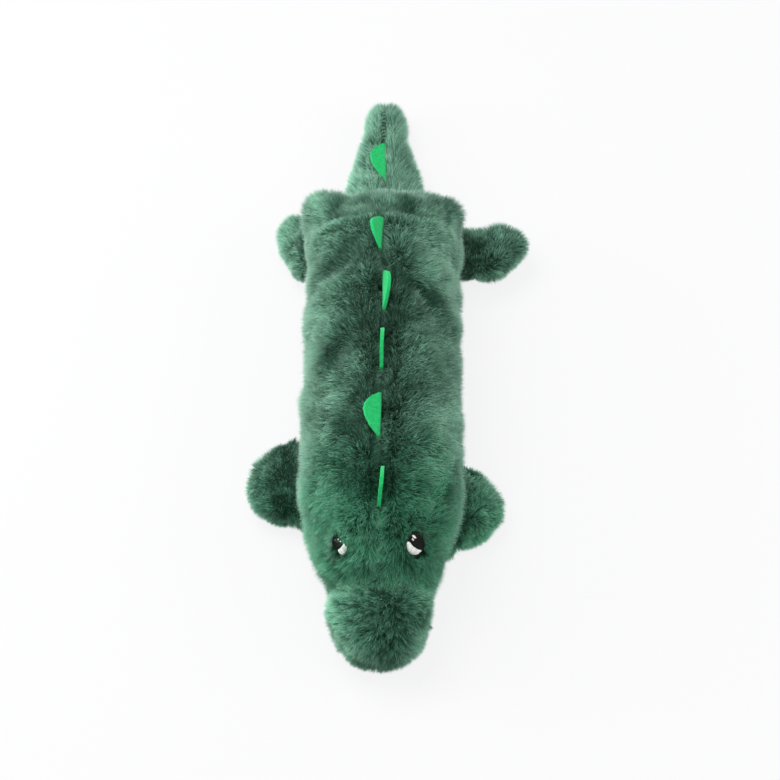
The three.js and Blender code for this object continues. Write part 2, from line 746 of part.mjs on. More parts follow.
// A paw: a top and a sole of plush over wadding, its root pinched into the side seam. It is
// trimmed to the body at some angles of its swing about that seam, so that it swings freely.
function addPaw(name, side, paw) {
  const form = { ...pawForm, end: paw.length, halfWidth: paw.halfWidth };
  const place = (shape) =>
    shape
      .rotate([0, 0, side * (paw.yaw - 90)])
      .translate([side * (paw.seamX - paw.tuck), paw.y, 0]);
  const swing = (shape, degrees) =>
    shape
      .translate([-side * paw.seamX, 0, -sideSeamZ])
      .rotate([0, -side * degrees, 0])
      .translate([side * paw.seamX, 0, sideSeamZ]);
  const finish = (shape) => {
    let fitted = place(shape);
    for (let step = 0; step <= pawTrims; step++) {
      if (step) fitted = swing(fitted, pawSwing / pawTrims);
      fitted = fitted.subtract(sleeveClearance);
    }
    return swing(fitted, paw.lift - pawSwing);
  };
  const skin = stuffedForm(form, 0)
    .intersect(above(limbFloorGap))
    .subtract(stuffedForm(form, limbPlush));
  const seamZ = limbFloorGap + pawHeight * pawSeamShare;
  addPart(`paw_top_${name}`, finish(skin.intersect(above(seamZ + gap / 2))), fur);
  addPart(`paw_sole_${name}`, finish(skin.intersect(below(seamZ - gap / 2))), fur);
  addPart(`paw_stuffing_${name}`, finish(waddingIn(form)), wadding);
}

const frontPaw = {
  length: frontPawLength,
  halfWidth: frontPawHalfWidth,
  seamX: bodyHalfWidth * frontSeamShare,
  yaw: frontPawYaw,
  lift: 0,
};
const rearPaw = {
  length: rearPawLength,
  halfWidth: rearPawHalfWidth,
  seamX: bodyHalfWidth * rearSeamShare,
};
addPaw("front_left", -1, { ...frontPaw, y: leftFrontPawY, tuck: 0 });
addPaw("front_right", 1, { ...frontPaw, y: rightFrontPawY, tuck: rightFrontTuck });
const leftRear = { y: leftRearPawY, yaw: leftRearYaw, tuck: leftRearTuck, lift: 0 };
addPaw("rear_left", -1, { ...rearPaw, ...leftRear });
const rightRear = { y: rightRearPawY, yaw: rightRearYaw, tuck: 0, lift: rightRearLift };
addPaw("rear_right", 1, { ...rearPaw, ...rightRear });

export default toy;
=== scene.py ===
"""A plush alligator dog toy: a faux-fur sleeve round a drinks bottle, dressed for a studio photo.

Everything is in metres in the frame of the solid model: the toy lies on the floor at z = 0,
the snout points to -Y, the tail to +Y, and +X is on the right of someone who faces the snout.
"""

import json
import math

import bmesh
import bpy
import numpy as np
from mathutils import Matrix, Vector
from mathutils.bvhtree import BVHTree
from mathutils.kdtree import KDTree


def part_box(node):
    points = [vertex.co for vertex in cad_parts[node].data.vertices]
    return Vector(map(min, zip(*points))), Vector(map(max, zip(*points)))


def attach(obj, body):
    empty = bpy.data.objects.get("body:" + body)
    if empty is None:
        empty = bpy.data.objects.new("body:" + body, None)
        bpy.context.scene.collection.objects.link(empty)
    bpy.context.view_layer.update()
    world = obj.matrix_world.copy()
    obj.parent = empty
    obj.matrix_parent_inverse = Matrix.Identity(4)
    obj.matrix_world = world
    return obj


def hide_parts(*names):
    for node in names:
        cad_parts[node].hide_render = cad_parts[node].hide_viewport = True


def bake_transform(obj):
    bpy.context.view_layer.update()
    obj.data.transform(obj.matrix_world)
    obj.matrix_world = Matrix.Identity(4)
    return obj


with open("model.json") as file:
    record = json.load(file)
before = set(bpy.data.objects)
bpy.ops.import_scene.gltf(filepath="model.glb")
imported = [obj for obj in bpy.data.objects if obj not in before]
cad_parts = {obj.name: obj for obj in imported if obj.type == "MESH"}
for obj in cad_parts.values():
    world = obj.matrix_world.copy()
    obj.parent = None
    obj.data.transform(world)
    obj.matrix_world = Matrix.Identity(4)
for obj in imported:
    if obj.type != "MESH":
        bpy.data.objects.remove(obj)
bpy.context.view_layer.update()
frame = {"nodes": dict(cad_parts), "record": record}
nodes = frame["nodes"]
MM = 0.001

# Seams and edges of the sewn toy.
SIDE_SEAM_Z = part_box("belly_panel")[1][2]
SNOUT_SEAM_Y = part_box("belly_panel")[0][1]
MOUTH_SEAM_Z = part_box("snout_chin")[1][2]
FLAP_HALF_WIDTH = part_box("rear_flap")[1][0]
HEM_Y = 108 * MM
HEAD_Y = -48 * MM  # where the head's half of each back panel starts

# Camera, floor and light

CAMERA_AT = (7.9 * MM, -481 * MM, 867 * MM)
CAMERA_AIM = (4.5 * MM, 16 * MM, 40 * MM)
CAMERA_LENS = 79.55  # on a 36 mm sensor
LAMPS_AIM = Vector((0, 0.02, 0.03))


def linear(colour):
    """An sRGB hex colour as linear red, green, blue and alpha."""
    parts = [int(colour[i : i + 2], 16) / 255 for i in (1, 3, 5)]
    return [c / 12.92 if c <= 0.04045 else ((c + 0.055) / 1.055) ** 2.4 for c in parts] + [1]


def add_node(tree, kind, settings=None, inputs=None, stops=()):
    """A shader node with its settings, its inputs or their links, and its colour stops."""
    node = tree.nodes.new(kind)
    for key, value in (settings or {}).items():
        setattr(node, key, value)
    for key, value in (inputs or {}).items():
        if isinstance(value, bpy.types.NodeSocket):
            tree.links.new(value, node.inputs[key])
        else:
            node.inputs[key].default_value = value
    for _ in stops[2:]:
        node.color_ramp.elements.new(0.5)
    for number, (position, colour) in enumerate(stops):
        node.color_ramp.elements[number].position = position
        node.color_ramp.elements[number].color = linear(colour)
    return node


def new_material(name, shader_inputs):
    """A material with one principled shader: the material, its node tree and the shader."""
    material = bpy.data.materials.new(name)
    material.use_nodes = True
    tree = material.node_tree
    tree.nodes.clear()
    output = tree.nodes.new("ShaderNodeOutputMaterial")
    shader = add_node(tree, "ShaderNodeBsdfPrincipled", inputs=shader_inputs)
    tree.links.new(shader.outputs[0], output.inputs["Surface"])
    return material, tree, shader


def object_noise(tree, size_mm, detail=3.0, stretch=(1, 1, 1)):
    """Noise whose grains are about this many millimetres, in the object's own coordinates."""
    where = add_node(tree, "ShaderNodeTexCoord")
    placed = add_node(
        tree, "ShaderNodeMapping", inputs={"Vector": where.outputs["Object"], "Scale": stretch}
    )
    noise = add_node(
        tree,
        "ShaderNodeTexNoise",
        inputs={"Vector": placed.outputs[0], "Scale": 1 / (size_mm * MM), "Detail": detail},
    )
    return noise.outputs["Fac"]


def dress(tree, shader, factor, stops, height, depth_mm, strength):
    """Gives the shader colours that follow one pattern and a bump that follows another."""
    if stops:
        colour = add_node(tree, "ShaderNodeValToRGB", inputs={"Fac": factor}, stops=stops)
        tree.links.new(colour.outputs["Color"], shader.inputs["Base Color"])
    bump = add_node(
        tree,
        "ShaderNodeBump",
        inputs={"Height": height, "Distance": depth_mm * MM, "Strength": strength},
    )
    tree.links.new(bump.outputs[0], shader.inputs["Normal"])


def set_stage():
    """The camera, a backlit white table, three soft lights and a white room."""
    camera = bpy.data.cameras.new("camera")
    camera.lens = CAMERA_LENS
    camera.sensor_width = 36
    camera.clip_start = 0.05
    camera_object = bpy.data.objects.new("camera", camera)
    bpy.context.scene.collection.objects.link(camera_object)
    camera_object.location = CAMERA_AT
    aim = Vector(CAMERA_AIM) - Vector(CAMERA_AT)
    camera_object.rotation_euler = aim.to_track_quat("-Z", "Y").to_euler()
    bpy.context.scene.camera = camera_object

    bpy.ops.mesh.primitive_plane_add(size=8, location=(0, 0, 0))
    floor = bpy.context.object
    floor.name = "floor"
    table, _, _ = new_material(
        "opal acrylic light table",
        {
            "Base Color": linear("#4b4b4b"),
            "Roughness": 0.9,
            "Specular IOR Level": 0.1,
            "Emission Color": linear("#fbfbfc"),
            "Emission Strength": 0.87,
        },
    )
    floor.data.materials.append(table)

    for name, place, size, power in (
        ("key softbox", (-0.45, 0.35, 1.2), 0.9, 15.0),
        ("side softbox", (-1.0, 0.1, 0.42), 0.6, 10.0),
        ("fill softbox", (0.9, -0.1, 0.6), 0.9, 6.0),
    ):
        light = bpy.data.lights.new(name, "AREA")
        light.shape = "DISK"
        light.size = size
        light.energy = power
        lamp = bpy.data.objects.new(name, light)
        bpy.context.scene.collection.objects.link(lamp)
        lamp.location = place
        aim = LAMPS_AIM - lamp.location
        lamp.rotation_euler = aim.to_track_quat("-Z", "Y").to_euler()

    world = bpy.data.worlds.new("white room")
    bpy.context.scene.world = world
    world.use_nodes = True
    background = world.node_tree.nodes["Background"]
    background.inputs["Color"].default_value = linear("#ffffff")
    background.inputs["Strength"].default_value = 0.72
    bpy.context.scene.view_settings.view_transform = "Standard"


# Working on meshes


def deselect():
    for piece in bpy.context.selected_objects:
        piece.select_set(False)


def activate(piece):
    deselect()
    piece.select_set(True)
    bpy.context.view_layer.objects.active = piece


def add_mesh(name, mesh):
    piece = bpy.data.objects.new(name, mesh)
    bpy.context.scene.collection.objects.link(piece)
    return piece


def add_shape(name, shape):
    """A new piece from a bmesh, which is then freed."""
    mesh = bpy.data.meshes.new(name)
    shape.to_mesh(mesh)
    shape.free()
    return add_mesh(name, mesh)


def face_outwards(piece):
    activate(piece)
    bpy.ops.object.mode_set(mode="EDIT")
    bpy.ops.mesh.select_all(action="SELECT")
    bpy.ops.mesh.normals_make_consistent(inside=False)
    bpy.ops.object.mode_set(mode="OBJECT")


def modify(piece, kind, **settings):
    """Adds one modifier with its settings and applies it."""
    modifier = piece.modifiers.new(kind.lower(), kind)
    for key, value in settings.items():
        setattr(modifier, key, value)
    activate(piece)
    bpy.ops.object.modifier_apply(modifier=modifier.name)


def coordinates(mesh):
    points = np.empty(len(mesh.vertices) * 3, np.float32)
    mesh.vertices.foreach_get("co", points)
    return points.reshape(-1, 3).astype(float)


def vertex_normals(mesh):
    normals = np.empty(len(mesh.vertices) * 3, np.float32)
    mesh.vertex_normals.foreach_get("vector", normals)
    return normals.reshape(-1, 3).astype(float)


def set_coordinates(mesh, points):
    mesh.vertices.foreach_set("co", np.ascontiguousarray(points, np.float32).ravel())
    mesh.update()


def unit(vectors):
    return vectors / np.maximum(np.linalg.norm(vectors, axis=1, keepdims=True), 1e-9)


def triangles_of(mesh):
    mesh.calc_loop_triangles()
    corners = np.empty(len(mesh.loop_triangles) * 3, np.int32)
    mesh.loop_triangles.foreach_get("vertices", corners)
    return corners.reshape(-1, 3)


def surface_tree(mesh):
    points = [Vector(p) for p in coordinates(mesh)]
    return BVHTree.FromPolygons(points, [tuple(map(int, t)) for t in triangles_of(mesh)])


def ridge(distance, width):
    """1 on a line and less away from it: about a third at this width."""
    return np.exp(-((distance / width) ** 2))


def smooth_step(values, start, end):
    """0 up to the start and 1 from the end on, with a smooth rise between them."""
    share = np.clip((values - start) / (end - start), 0, 1)
    return share * share * (3 - 2 * share)


WAVES = 10  # plane waves that one pattern adds up


def waves(seed, length):
    """A smooth seeded pattern over space, about as coarse as the length."""
    random = np.random.RandomState(seed)
    direction = unit(random.normal(size=(WAVES, 3)))
    pitch = length * random.uniform(0.7, 1.6, WAVES)
    turn = direction * (2 * math.pi / pitch)[:, None]
    phase = random.uniform(0, 2 * math.pi, WAVES)
    return lambda p: np.sin(p @ turn.T + phase).sum(1) / math.sqrt(WAVES / 2)


def finish(piece, body, slot, *replaced, padded=None):
    """Hangs a piece on what carries it, if anything does, and hides the solids that it stands for.
    """
    if body:
        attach(piece, body)
    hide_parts(*replaced)
    return piece


# The stuffed forms

PIN_SEAM = 2.2 * MM  # half width of the band that a seam holds still while cloth swells
CLOTH_STEPS = 20
MOST_SUNK = 0.3  # of the form's thickness, for the pile and for a hollow


def keep_outer_shell(mesh):
    """Drops the small closed shells that the hollows inside a form leave."""
    shape = bmesh.new()
    shape.from_mesh(mesh)
    shape.verts.ensure_lookup_table()
    seen = set()
    shells = []
    for start in shape.verts:
        if start.index in seen:
            continue
        shell, stack = [], [start]
        seen.add(start.index)
        while stack:
            vertex = stack.pop()
            shell.append(vertex)
            for edge in vertex.link_edges:
                other = edge.other_vert(vertex)
                if other.index not in seen:
                    seen.add(other.index)
                    stack.append(other)
        shells.append(shell)
    shells.sort(key=lambda shell: max(v.co.z for v in shell) - min(v.co.z for v in shell))
    for shell in shells[:-1]:
        bmesh.ops.delete(shape, geom=shell, context="VERTS")
    shape.to_mesh(mesh)
    shape.free()


def neighbour_average(mesh, values, rounds, share=0.5):
    """Spreads a value, or a point, on each vertex towards the mean of its neighbours."""
    edges = np.empty(len(mesh.edges) * 2, np.int32)
    mesh.edges.foreach_get("vertices", edges)
    edges = edges.reshape(-1, 2)
    count = len(mesh.vertices)
    flat = values.ndim == 1
    values = values.reshape(count, -1).copy()
    degree = np.bincount(edges.ravel(), minlength=count)[:, None]
    for _ in range(rounds):
        total = np.zeros_like(values)
        for column in range(values.shape[1]):
            total[:, column] = np.bincount(
                edges[:, 0], values[edges[:, 1], column], count
            ) + np.bincount(edges[:, 1], values[edges[:, 0], column], count)
        values += share * (total / np.maximum(degree, 1) - values)
    return values[:, 0] if flat else values


def smooth_form(mesh, rounds):
    """Rounds off facets and steps without shrinking the form."""
    points = coordinates(mesh)
    for _ in range(rounds):
        points = neighbour_average(mesh, points, 1, 0.5)
        points = neighbour_average(mesh, points, 1, -0.52)
    set_coordinates(mesh, points)


def swell(piece, seam_distance, cap):
    """Fills the form like stuffed cloth: its seams hold still and the cloth between them swells."""
    start = coordinates(piece.data)
    pinned = seam_distance(start) < PIN_SEAM
    group = piece.vertex_groups.new(name="sewn")
    group.add([int(i) for i in np.nonzero(pinned)[0]], 1.0, "REPLACE")
    cloth = piece.modifiers.new("cloth", "CLOTH")
    cloth.settings.vertex_group_mass = "sewn"
    cloth.settings.use_pressure = True
    cloth.settings.uniform_pressure_force = 4
    cloth.settings.effector_weights.gravity = 0
    cloth.settings.tension_stiffness = 12
    cloth.settings.bending_stiffness = 2
    cloth.point_cache.frame_start = 1
    cloth.point_cache.frame_end = CLOTH_STEPS
    for step in range(1, CLOTH_STEPS + 1):
        bpy.context.scene.frame_set(step)
    activate(piece)
    bpy.ops.object.modifier_apply(modifier=cloth.name)
    bpy.context.scene.frame_set(1)
    moved = coordinates(piece.data) - start
    length = np.linalg.norm(moved, axis=1, keepdims=True)
    limited = moved * np.minimum(1, cap / np.maximum(length, 1e-9))
    set_coordinates(piece.data, start + limited)
    piece.vertex_groups.clear()


def form_from(name, node_names, voxel, seam_distance=None, cap=0.0):
    """One smooth stuffed form from the solids that fill it."""
    shape = bmesh.new()
    for node in node_names:
        shape.from_mesh(nodes[node].data)
    bmesh.ops.remove_doubles(shape, verts=shape.verts, dist=0.01 * MM)
    piece = add_shape(name, shape)
    modify(piece, "REMESH", mode="VOXEL", voxel_size=voxel)
    keep_outer_shell(piece.data)
    smooth_form(piece.data, 5)
    if seam_distance:
        swell(piece, seam_distance, cap)
        smooth_form(piece.data, 2)
    return piece


def room_behind(mesh, points, normals):
    """How far it is through the form from each vertex to the far side."""
    tree = surface_tree(mesh)
    room = np.full(len(points), 0.1)
    for i, (point, normal) in enumerate(zip(points, normals)):
        inward = -Vector(normal)
        hit = tree.ray_cast(Vector(point) + inward * 0.5 * MM, inward)
        if hit[3] is not None:
            room[i] = hit[3]
    return room


def draw_in(piece, depth, relief, root=None):
    """Moves the form's skin inwards to the cloth's backing and keeps the height of the pile.

    The relief raises or lowers the cloth. The root says how much of a vertex belongs to a
    sewn-in end, which reaches out to what carries it instead.
    """
    mesh = piece.data
    points = coordinates(mesh)
    normals = unit(neighbour_average(mesh, vertex_normals(mesh), 4))
    room = room_behind(mesh, points, normals)
    wanted = np.minimum(depth(points, normals), MOST_SUNK * room)
    pile = neighbour_average(mesh, wanted, 4)
    raised = relief(points, normals)
    shift = pile - np.where(raised > 0, raised, np.maximum(raised, -MOST_SUNK * room))
    if root:
        shared, reach = root(points, normals)
        shift = shift * (1 - shared) - reach * shared
    shift = neighbour_average(mesh, shift, 1)
    set_coordinates(mesh, points - normals * shift[:, None])
    smooth_form(mesh, 1)
    height = mesh.attributes.new("pile", "FLOAT", "POINT")
    height.data.foreach_set("value", pile.astype(np.float32))
    upright = mesh.attributes.new("upright", "FLOAT_VECTOR", "POINT")
    upright.data.foreach_set("vector", normals.astype(np.float32).ravel())


# The pile

PALETTE_COLUMNS = 48  # of the colour map: two dye lots of the pile, and the backing last
SHADES = 23  # of each dye lot, from dark to pale
BACKING_COLUMN = PALETTE_COLUMNS - 1
FLOOR_PILE = 0.4 * MM  # the pile that the floor presses flat stays this far above it
VIVID_SHARE = 0.9  # how much of the head's pile is of the more vivid dye lot
SHORTEST_KEPT = 0.08  # a strand trimmed below this share of its length is left out
LEAST_LEAN, MOST_LEAN = 0.05, 1.35  # radians
ROOT_SUNK = 0.4 * MM  # how deep a strand starts in its backing


def clumps_of(roots, spacing, area, seed):
    """Which tuft each strand belongs to."""
    count = max(4, int(area / spacing**2))
    random = np.random.RandomState(seed)
    chosen = random.choice(len(roots), min(count, len(roots)), replace=False)
    tree = KDTree(len(chosen))
    for i, k in enumerate(chosen):
        tree.insert(roots[k], i)
    tree.balance()
    return np.array([tree.find(p)[1] for p in roots]), len(chosen)


def scatter_roots(panel, density, random):
    """Random places on a panel, for the strands' roots.

    Gives the roots, the normals of the backing and of the form there, the pile's height there,
    and the panel's area.
    """
    mesh = panel.data
    points, normals = coordinates(mesh), vertex_normals(mesh)
    depth = np.empty(len(points), np.float32)
    mesh.attributes["pile"].data.foreach_get("value", depth)
    upright = np.empty(len(points) * 3, np.float32)
    mesh.attributes["upright"].data.foreach_get("vector", upright)
    corners = triangles_of(mesh)
    a, b, c = (points[corners[:, k]] for k in range(3))
    areas = np.linalg.norm(np.cross(b - a, c - a), axis=1) / 2
    area = areas.sum()
    strands = int(area / MM**2 * density)
    face = random.choice(len(corners), strands, p=areas / area)
    r1 = np.sqrt(random.uniform(size=strands))
    r2 = random.uniform(size=strands)
    weights = np.stack([1 - r1, r1 * (1 - r2), r1 * r2], 1)

    def spread(values):
        picked = values[corners[face]]
        if values.ndim == 1:
            return (picked * weights).sum(1)
        return (picked * weights[:, :, None]).sum(1)

    face_normal = unit(spread(normals))
    normal = unit(0.35 * face_normal + 0.65 * spread(upright.reshape(-1, 3).astype(float)))
    return spread(points), face_normal, normal, spread(depth.astype(float)), area


def along_cloth(directions, normal):
    """Directions laid flat on the cloth."""
    return unit(directions - normal * (directions * normal).sum(1, keepdims=True))


def stand_up(roots, style, field):
    """The patches of a form where the pile stands up, above 0, or lies down, below it."""
    return waves(field + 3, style["stand_length"])(roots)


def strand_tips(strands, nap, style, field, random, tuft_random):
    """Where each strand ends: it leans along the nap, and each tuft's tips draw together."""
    roots, normal, rise, trim, part, bent, tuft, tufts = strands
    count = len(roots)
    bent = bent + math.radians(style["side_lean"]) * smooth_step(np.abs(normal[:, 0]), 0.4, 0.95)
    sway = np.stack([waves(field + 1 + k, style["sway_length"])(roots) for k in range(3)], 1)
    ruffle = np.stack([waves(field + 5 + k, style["ruffle_length"])(roots) for k in range(3)], 1)
    lay = unit(nap(roots, normal)) + style["sway"] * sway + style["ruffle"] * ruffle + part
    lay = along_cloth(lay, normal)
    lean = np.radians(style["lean"] - style["stand"] * stand_up(roots, style, field))
    lean += tuft_random.normal(0, style["tuft_lean"], tufts)[tuft] + bent
    lean = np.clip(lean + random.normal(0, style["stray"], count), LEAST_LEAN, MOST_LEAN)
    lay = lay + random.normal(size=(count, 3)) * style["wild"]
    lay += tuft_random.normal(size=(tufts, 3))[tuft] * style["tuft_side"]
    lay = along_cloth(lay, normal)
    along = normal * np.cos(lean)[:, None] + lay * np.sin(lean)[:, None]
    reach = rise / np.maximum(np.cos(math.radians(style["lean"]) + bent), 0.5) * style["length"]
    reach = reach * (1 + style["uneven"] * tuft_random.uniform(-1, 0.6, tufts)[tuft]) * trim
    reach = reach * (1.03 - 0.3 * random.uniform(size=count) ** 1.6)
    tips = roots + along * reach[:, None]

    middle = np.zeros((tufts, 3))
    members = np.bincount(tuft, minlength=tufts)
    for k in range(3):
        middle[:, k] = np.bincount(tuft, tips[:, k], tufts) / np.maximum(members, 1)
    gather = (style["gather"] * tuft_random.uniform(0.2, 1.6, tufts))[tuft][:, None]
    tips = tips + (middle[tuft] - tips) * np.clip(gather, 0, 0.9)
    tips[:, 2] = np.maximum(tips[:, 2], FLOOR_PILE + random.uniform(0, FLOOR_PILE, count))
    return tips


def needles(roots, tips, face_normal, style, random):
    """Each strand as a three-sided needle: its points, their normals and its faces."""
    count = len(roots)
    direction = unit(tips - roots)
    side = unit(np.cross(direction, random.normal(size=(count, 3))))
    other = np.cross(direction, side)
    half = style["width"] / 2 * random.uniform(0.75, 1.25, count)
    sunk = roots - face_normal * ROOT_SUNK
    ring, ring_normals = [], []
    for k in range(3):
        turn = 2 * math.pi * k / 3
        outward = side * math.cos(turn) + other * math.sin(turn)
        ring.append(sunk + outward * half[:, None])
        ring_normals.append(unit(face_normal * style["form_share"] + outward * 0.5))
    tip_normals = unit(face_normal + 0.35 * direction)
    first = np.arange(count)[:, None] * 4
    faces = [first + np.array([[k, (k + 1) % 3, 3]]) for k in range(3)]
    return (
        np.stack(ring + [tips], 1).reshape(-1, 3),
        np.stack(ring_normals + [tip_normals], 1).reshape(-1, 3),
        np.concatenate(faces, 1).reshape(-1, 3),
    )


def palette_places(roots, normal, tuft_shade, style, field, random):
    """Where on the colour map each strand lies: in patches, darker with painted shade where the
    pile stands up, by tufts, by single strands and by its form's painted light and shade.
    """
    count = len(roots)
    broad = waves(field + 90, style["patch"])(roots)
    fine = waves(field + 91, style["patch"] * 0.3)(roots)
    patches = 0.6 * broad + 0.35 * fine - 0.5 * stand_up(roots, style, field)
    shade = style["shade"] + style["patchiness"] * patches
    shade += tuft_shade
    shade += random.normal(0, style["strand_shade"], count)
    # each form adds its painted light and shade
    if "painted_light_and_shade" in style:
        shade += style["painted_light_and_shade"](roots, normal)
    column = (np.clip(shade, 0.01, 0.99) * SHADES).astype(int)
    vivid = smooth_step(-roots[:, 1], 10 * MM, 75 * MM) * VIVID_SHARE
    vivid *= 1 - 0.6 * smooth_step(-roots[:, 1], 98 * MM, 112 * MM)
    column += SHADES * (random.uniform(size=count) < vivid)
    left = (column + 0.2) / PALETTE_COLUMNS
    right = (column + 0.8) / PALETTE_COLUMNS
    uv = np.empty((count, 3, 3, 2))
    uv[:, :, 0, 0] = left[:, None]
    uv[:, :, 1, 0] = right[:, None]
    uv[:, :, 2, 0] = ((left + right) / 2)[:, None]
    uv[:, :, 0:2, 1] = 0.02
    uv[:, :, 2, 1] = 0.98
    return uv.reshape(-1, 2)


def grow_pile(panel, nap, style, seed):
    """Strands of pile over a panel's outer face: straight three-sided needles gathered in tufts."""
    random = np.random.RandomState(seed)
    tuft_random = np.random.RandomState(seed + 6)
    field = seed // 100 * 100  # the same waves run on over all the panels of one form
    roots, face_normal, normal, rise, area = scatter_roots(panel, style["density"], random)
    trim, part, bent = np.ones(len(roots)), np.zeros((len(roots), 3)), np.zeros(len(roots))
    if "trim" in style:
        trim, part, bent = style["trim"](roots)
    kept = trim > SHORTEST_KEPT
    roots, face_normal, normal, rise, trim, part, bent = (
        values[kept] for values in (roots, face_normal, normal, rise, trim, part, bent)
    )
    tuft, tufts = clumps_of(roots, style["tuft"], area, seed + 5)
    strands = roots, normal, rise, trim, part, bent, tuft, tufts
    tips = strand_tips(strands, nap, style, field, random, tuft_random)
    points, normals, faces = needles(roots, tips, face_normal, style, random)
    tuft_shade = tuft_random.normal(0, style["tuft_shade"], tufts)[tuft]
    uv = palette_places(roots, normal, tuft_shade, style, field, random)
    return points, normals, faces, uv


def plush_piece(name, panel, thickness, pile, material):
    """Joins a panel's backing, given its thickness, and its pile into one finished piece."""
    modify(panel, "SOLIDIFY", thickness=thickness, offset=-1)
    mesh = panel.data
    skin_points, skin_normals = coordinates(mesh), vertex_normals(mesh)
    skin_faces = triangles_of(mesh)
    left = (BACKING_COLUMN + 0.2) / PALETTE_COLUMNS
    right = (BACKING_COLUMN + 0.8) / PALETTE_COLUMNS
    skin_uv = np.tile([[left, 0.1], [right, 0.1], [right, 0.9]], (len(skin_faces), 1))
    points, normals, faces, uv = pile
    finished = bpy.data.meshes.new(name)
    all_points = np.concatenate([skin_points, points]).astype(np.float32)
    all_faces = np.concatenate([skin_faces, faces + len(skin_points)]).astype(np.int32)
    finished.vertices.add(len(all_points))
    finished.vertices.foreach_set("co", all_points.ravel())
    finished.loops.add(len(all_faces) * 3)
    finished.loops.foreach_set("vertex_index", all_faces.ravel())
    finished.polygons.add(len(all_faces))
    finished.polygons.foreach_set("loop_start", np.arange(0, len(all_faces) * 3, 3, dtype=np.int32))
    finished.update(calc_edges=True)
    layer = finished.uv_layers.new(name="OFBake")
    layer.uv.foreach_set("vector", np.concatenate([skin_uv, uv]).astype(np.float32).ravel())
    finished.polygons.foreach_set("use_smooth", np.ones(len(all_faces), bool))
    finished.normals_split_custom_set_from_vertices(
        np.concatenate([skin_normals, normals]).astype(np.float32)
    )
    finished.materials.append(material)
    bpy.data.objects.remove(panel)
    return add_mesh(name, finished)


def cut_panel(form, name, planes, keep):
    """A panel of the form: the form is cut along planes, and the faces that are kept stay."""
    shape = bmesh.new()
    shape.from_mesh(form.data)
    for place, direction in planes:
        everything = shape.verts[:] + shape.edges[:] + shape.faces[:]
        bmesh.ops.bisect_plane(
            shape, geom=everything, dist=0.02 * MM, plane_co=place, plane_no=direction
        )
    dropped = [f for f in shape.faces if not keep(f.calc_center_median())]
    bmesh.ops.delete(shape, geom=dropped, context="FACES")
    return add_shape(name, shape)


# Fur, and how its depth, relief, shade, painted light and lie vary over the toy


def make_fur_material(name, stops, vivid_stops, backing_colour):
    """Faux fur: modacrylic pile, knitted in and sheared, dark at the root and pale at the tip.

    The map's first axis is a strand's dye lot and shade and its second runs from root to tip.
    """
    material, tree, shader = new_material(
        name,
        {
            "Roughness": 0.75,
            "Specular IOR Level": 0.2,
            "Sheen Weight": 0.5,
            "Sheen Roughness": 0.4,
            "Sheen Tint": linear("#c4ead6"),
        },
    )
    where = add_node(tree, "ShaderNodeUVMap", {"uv_map": "OFBake"})
    axes = add_node(tree, "ShaderNodeSeparateXYZ", inputs={"Vector": where.outputs["UV"]})
    column = add_node(
        tree,
        "ShaderNodeMath",
        {"operation": "MULTIPLY"},
        {0: axes.outputs["X"], 1: PALETTE_COLUMNS / SHADES},
    )
    shade = add_node(tree, "ShaderNodeMath", {"operation": "FRACT"}, {0: column.outputs[0]})
    lot = add_node(
        tree, "ShaderNodeMath", {"operation": "GREATER_THAN"}, {0: column.outputs[0], 1: 1.0}
    )
    lots = []
    for shades in (stops, vivid_stops):
        dark, pale = (
            add_node(
                tree, "ShaderNodeValToRGB", inputs={"Fac": axes.outputs["Y"]}, stops=shade_stops
            )
            for shade_stops in shades
        )
        lots.append(
            add_node(
                tree,
                "ShaderNodeMix",
                {"data_type": "RGBA"},
                {"Factor": shade.outputs[0], 6: dark.outputs["Color"], 7: pale.outputs["Color"]},
            )
        )
    backing = add_node(
        tree,
        "ShaderNodeMath",
        {"operation": "GREATER_THAN"},
        {0: axes.outputs["X"], 1: (BACKING_COLUMN + 0.05) / PALETTE_COLUMNS},
    )
    pile = add_node(
        tree,
        "ShaderNodeMix",
        {"data_type": "RGBA"},
        {"Factor": lot.outputs[0], 6: lots[0].outputs[2], 7: lots[1].outputs[2]},
    )
    colour = add_node(
        tree,
        "ShaderNodeMix",
        {"data_type": "RGBA"},
        {"Factor": backing.outputs[0], 6: pile.outputs[2], 7: linear(backing_colour)},
    )
    tree.links.new(colour.outputs[2], shader.inputs["Base Color"])
    return material
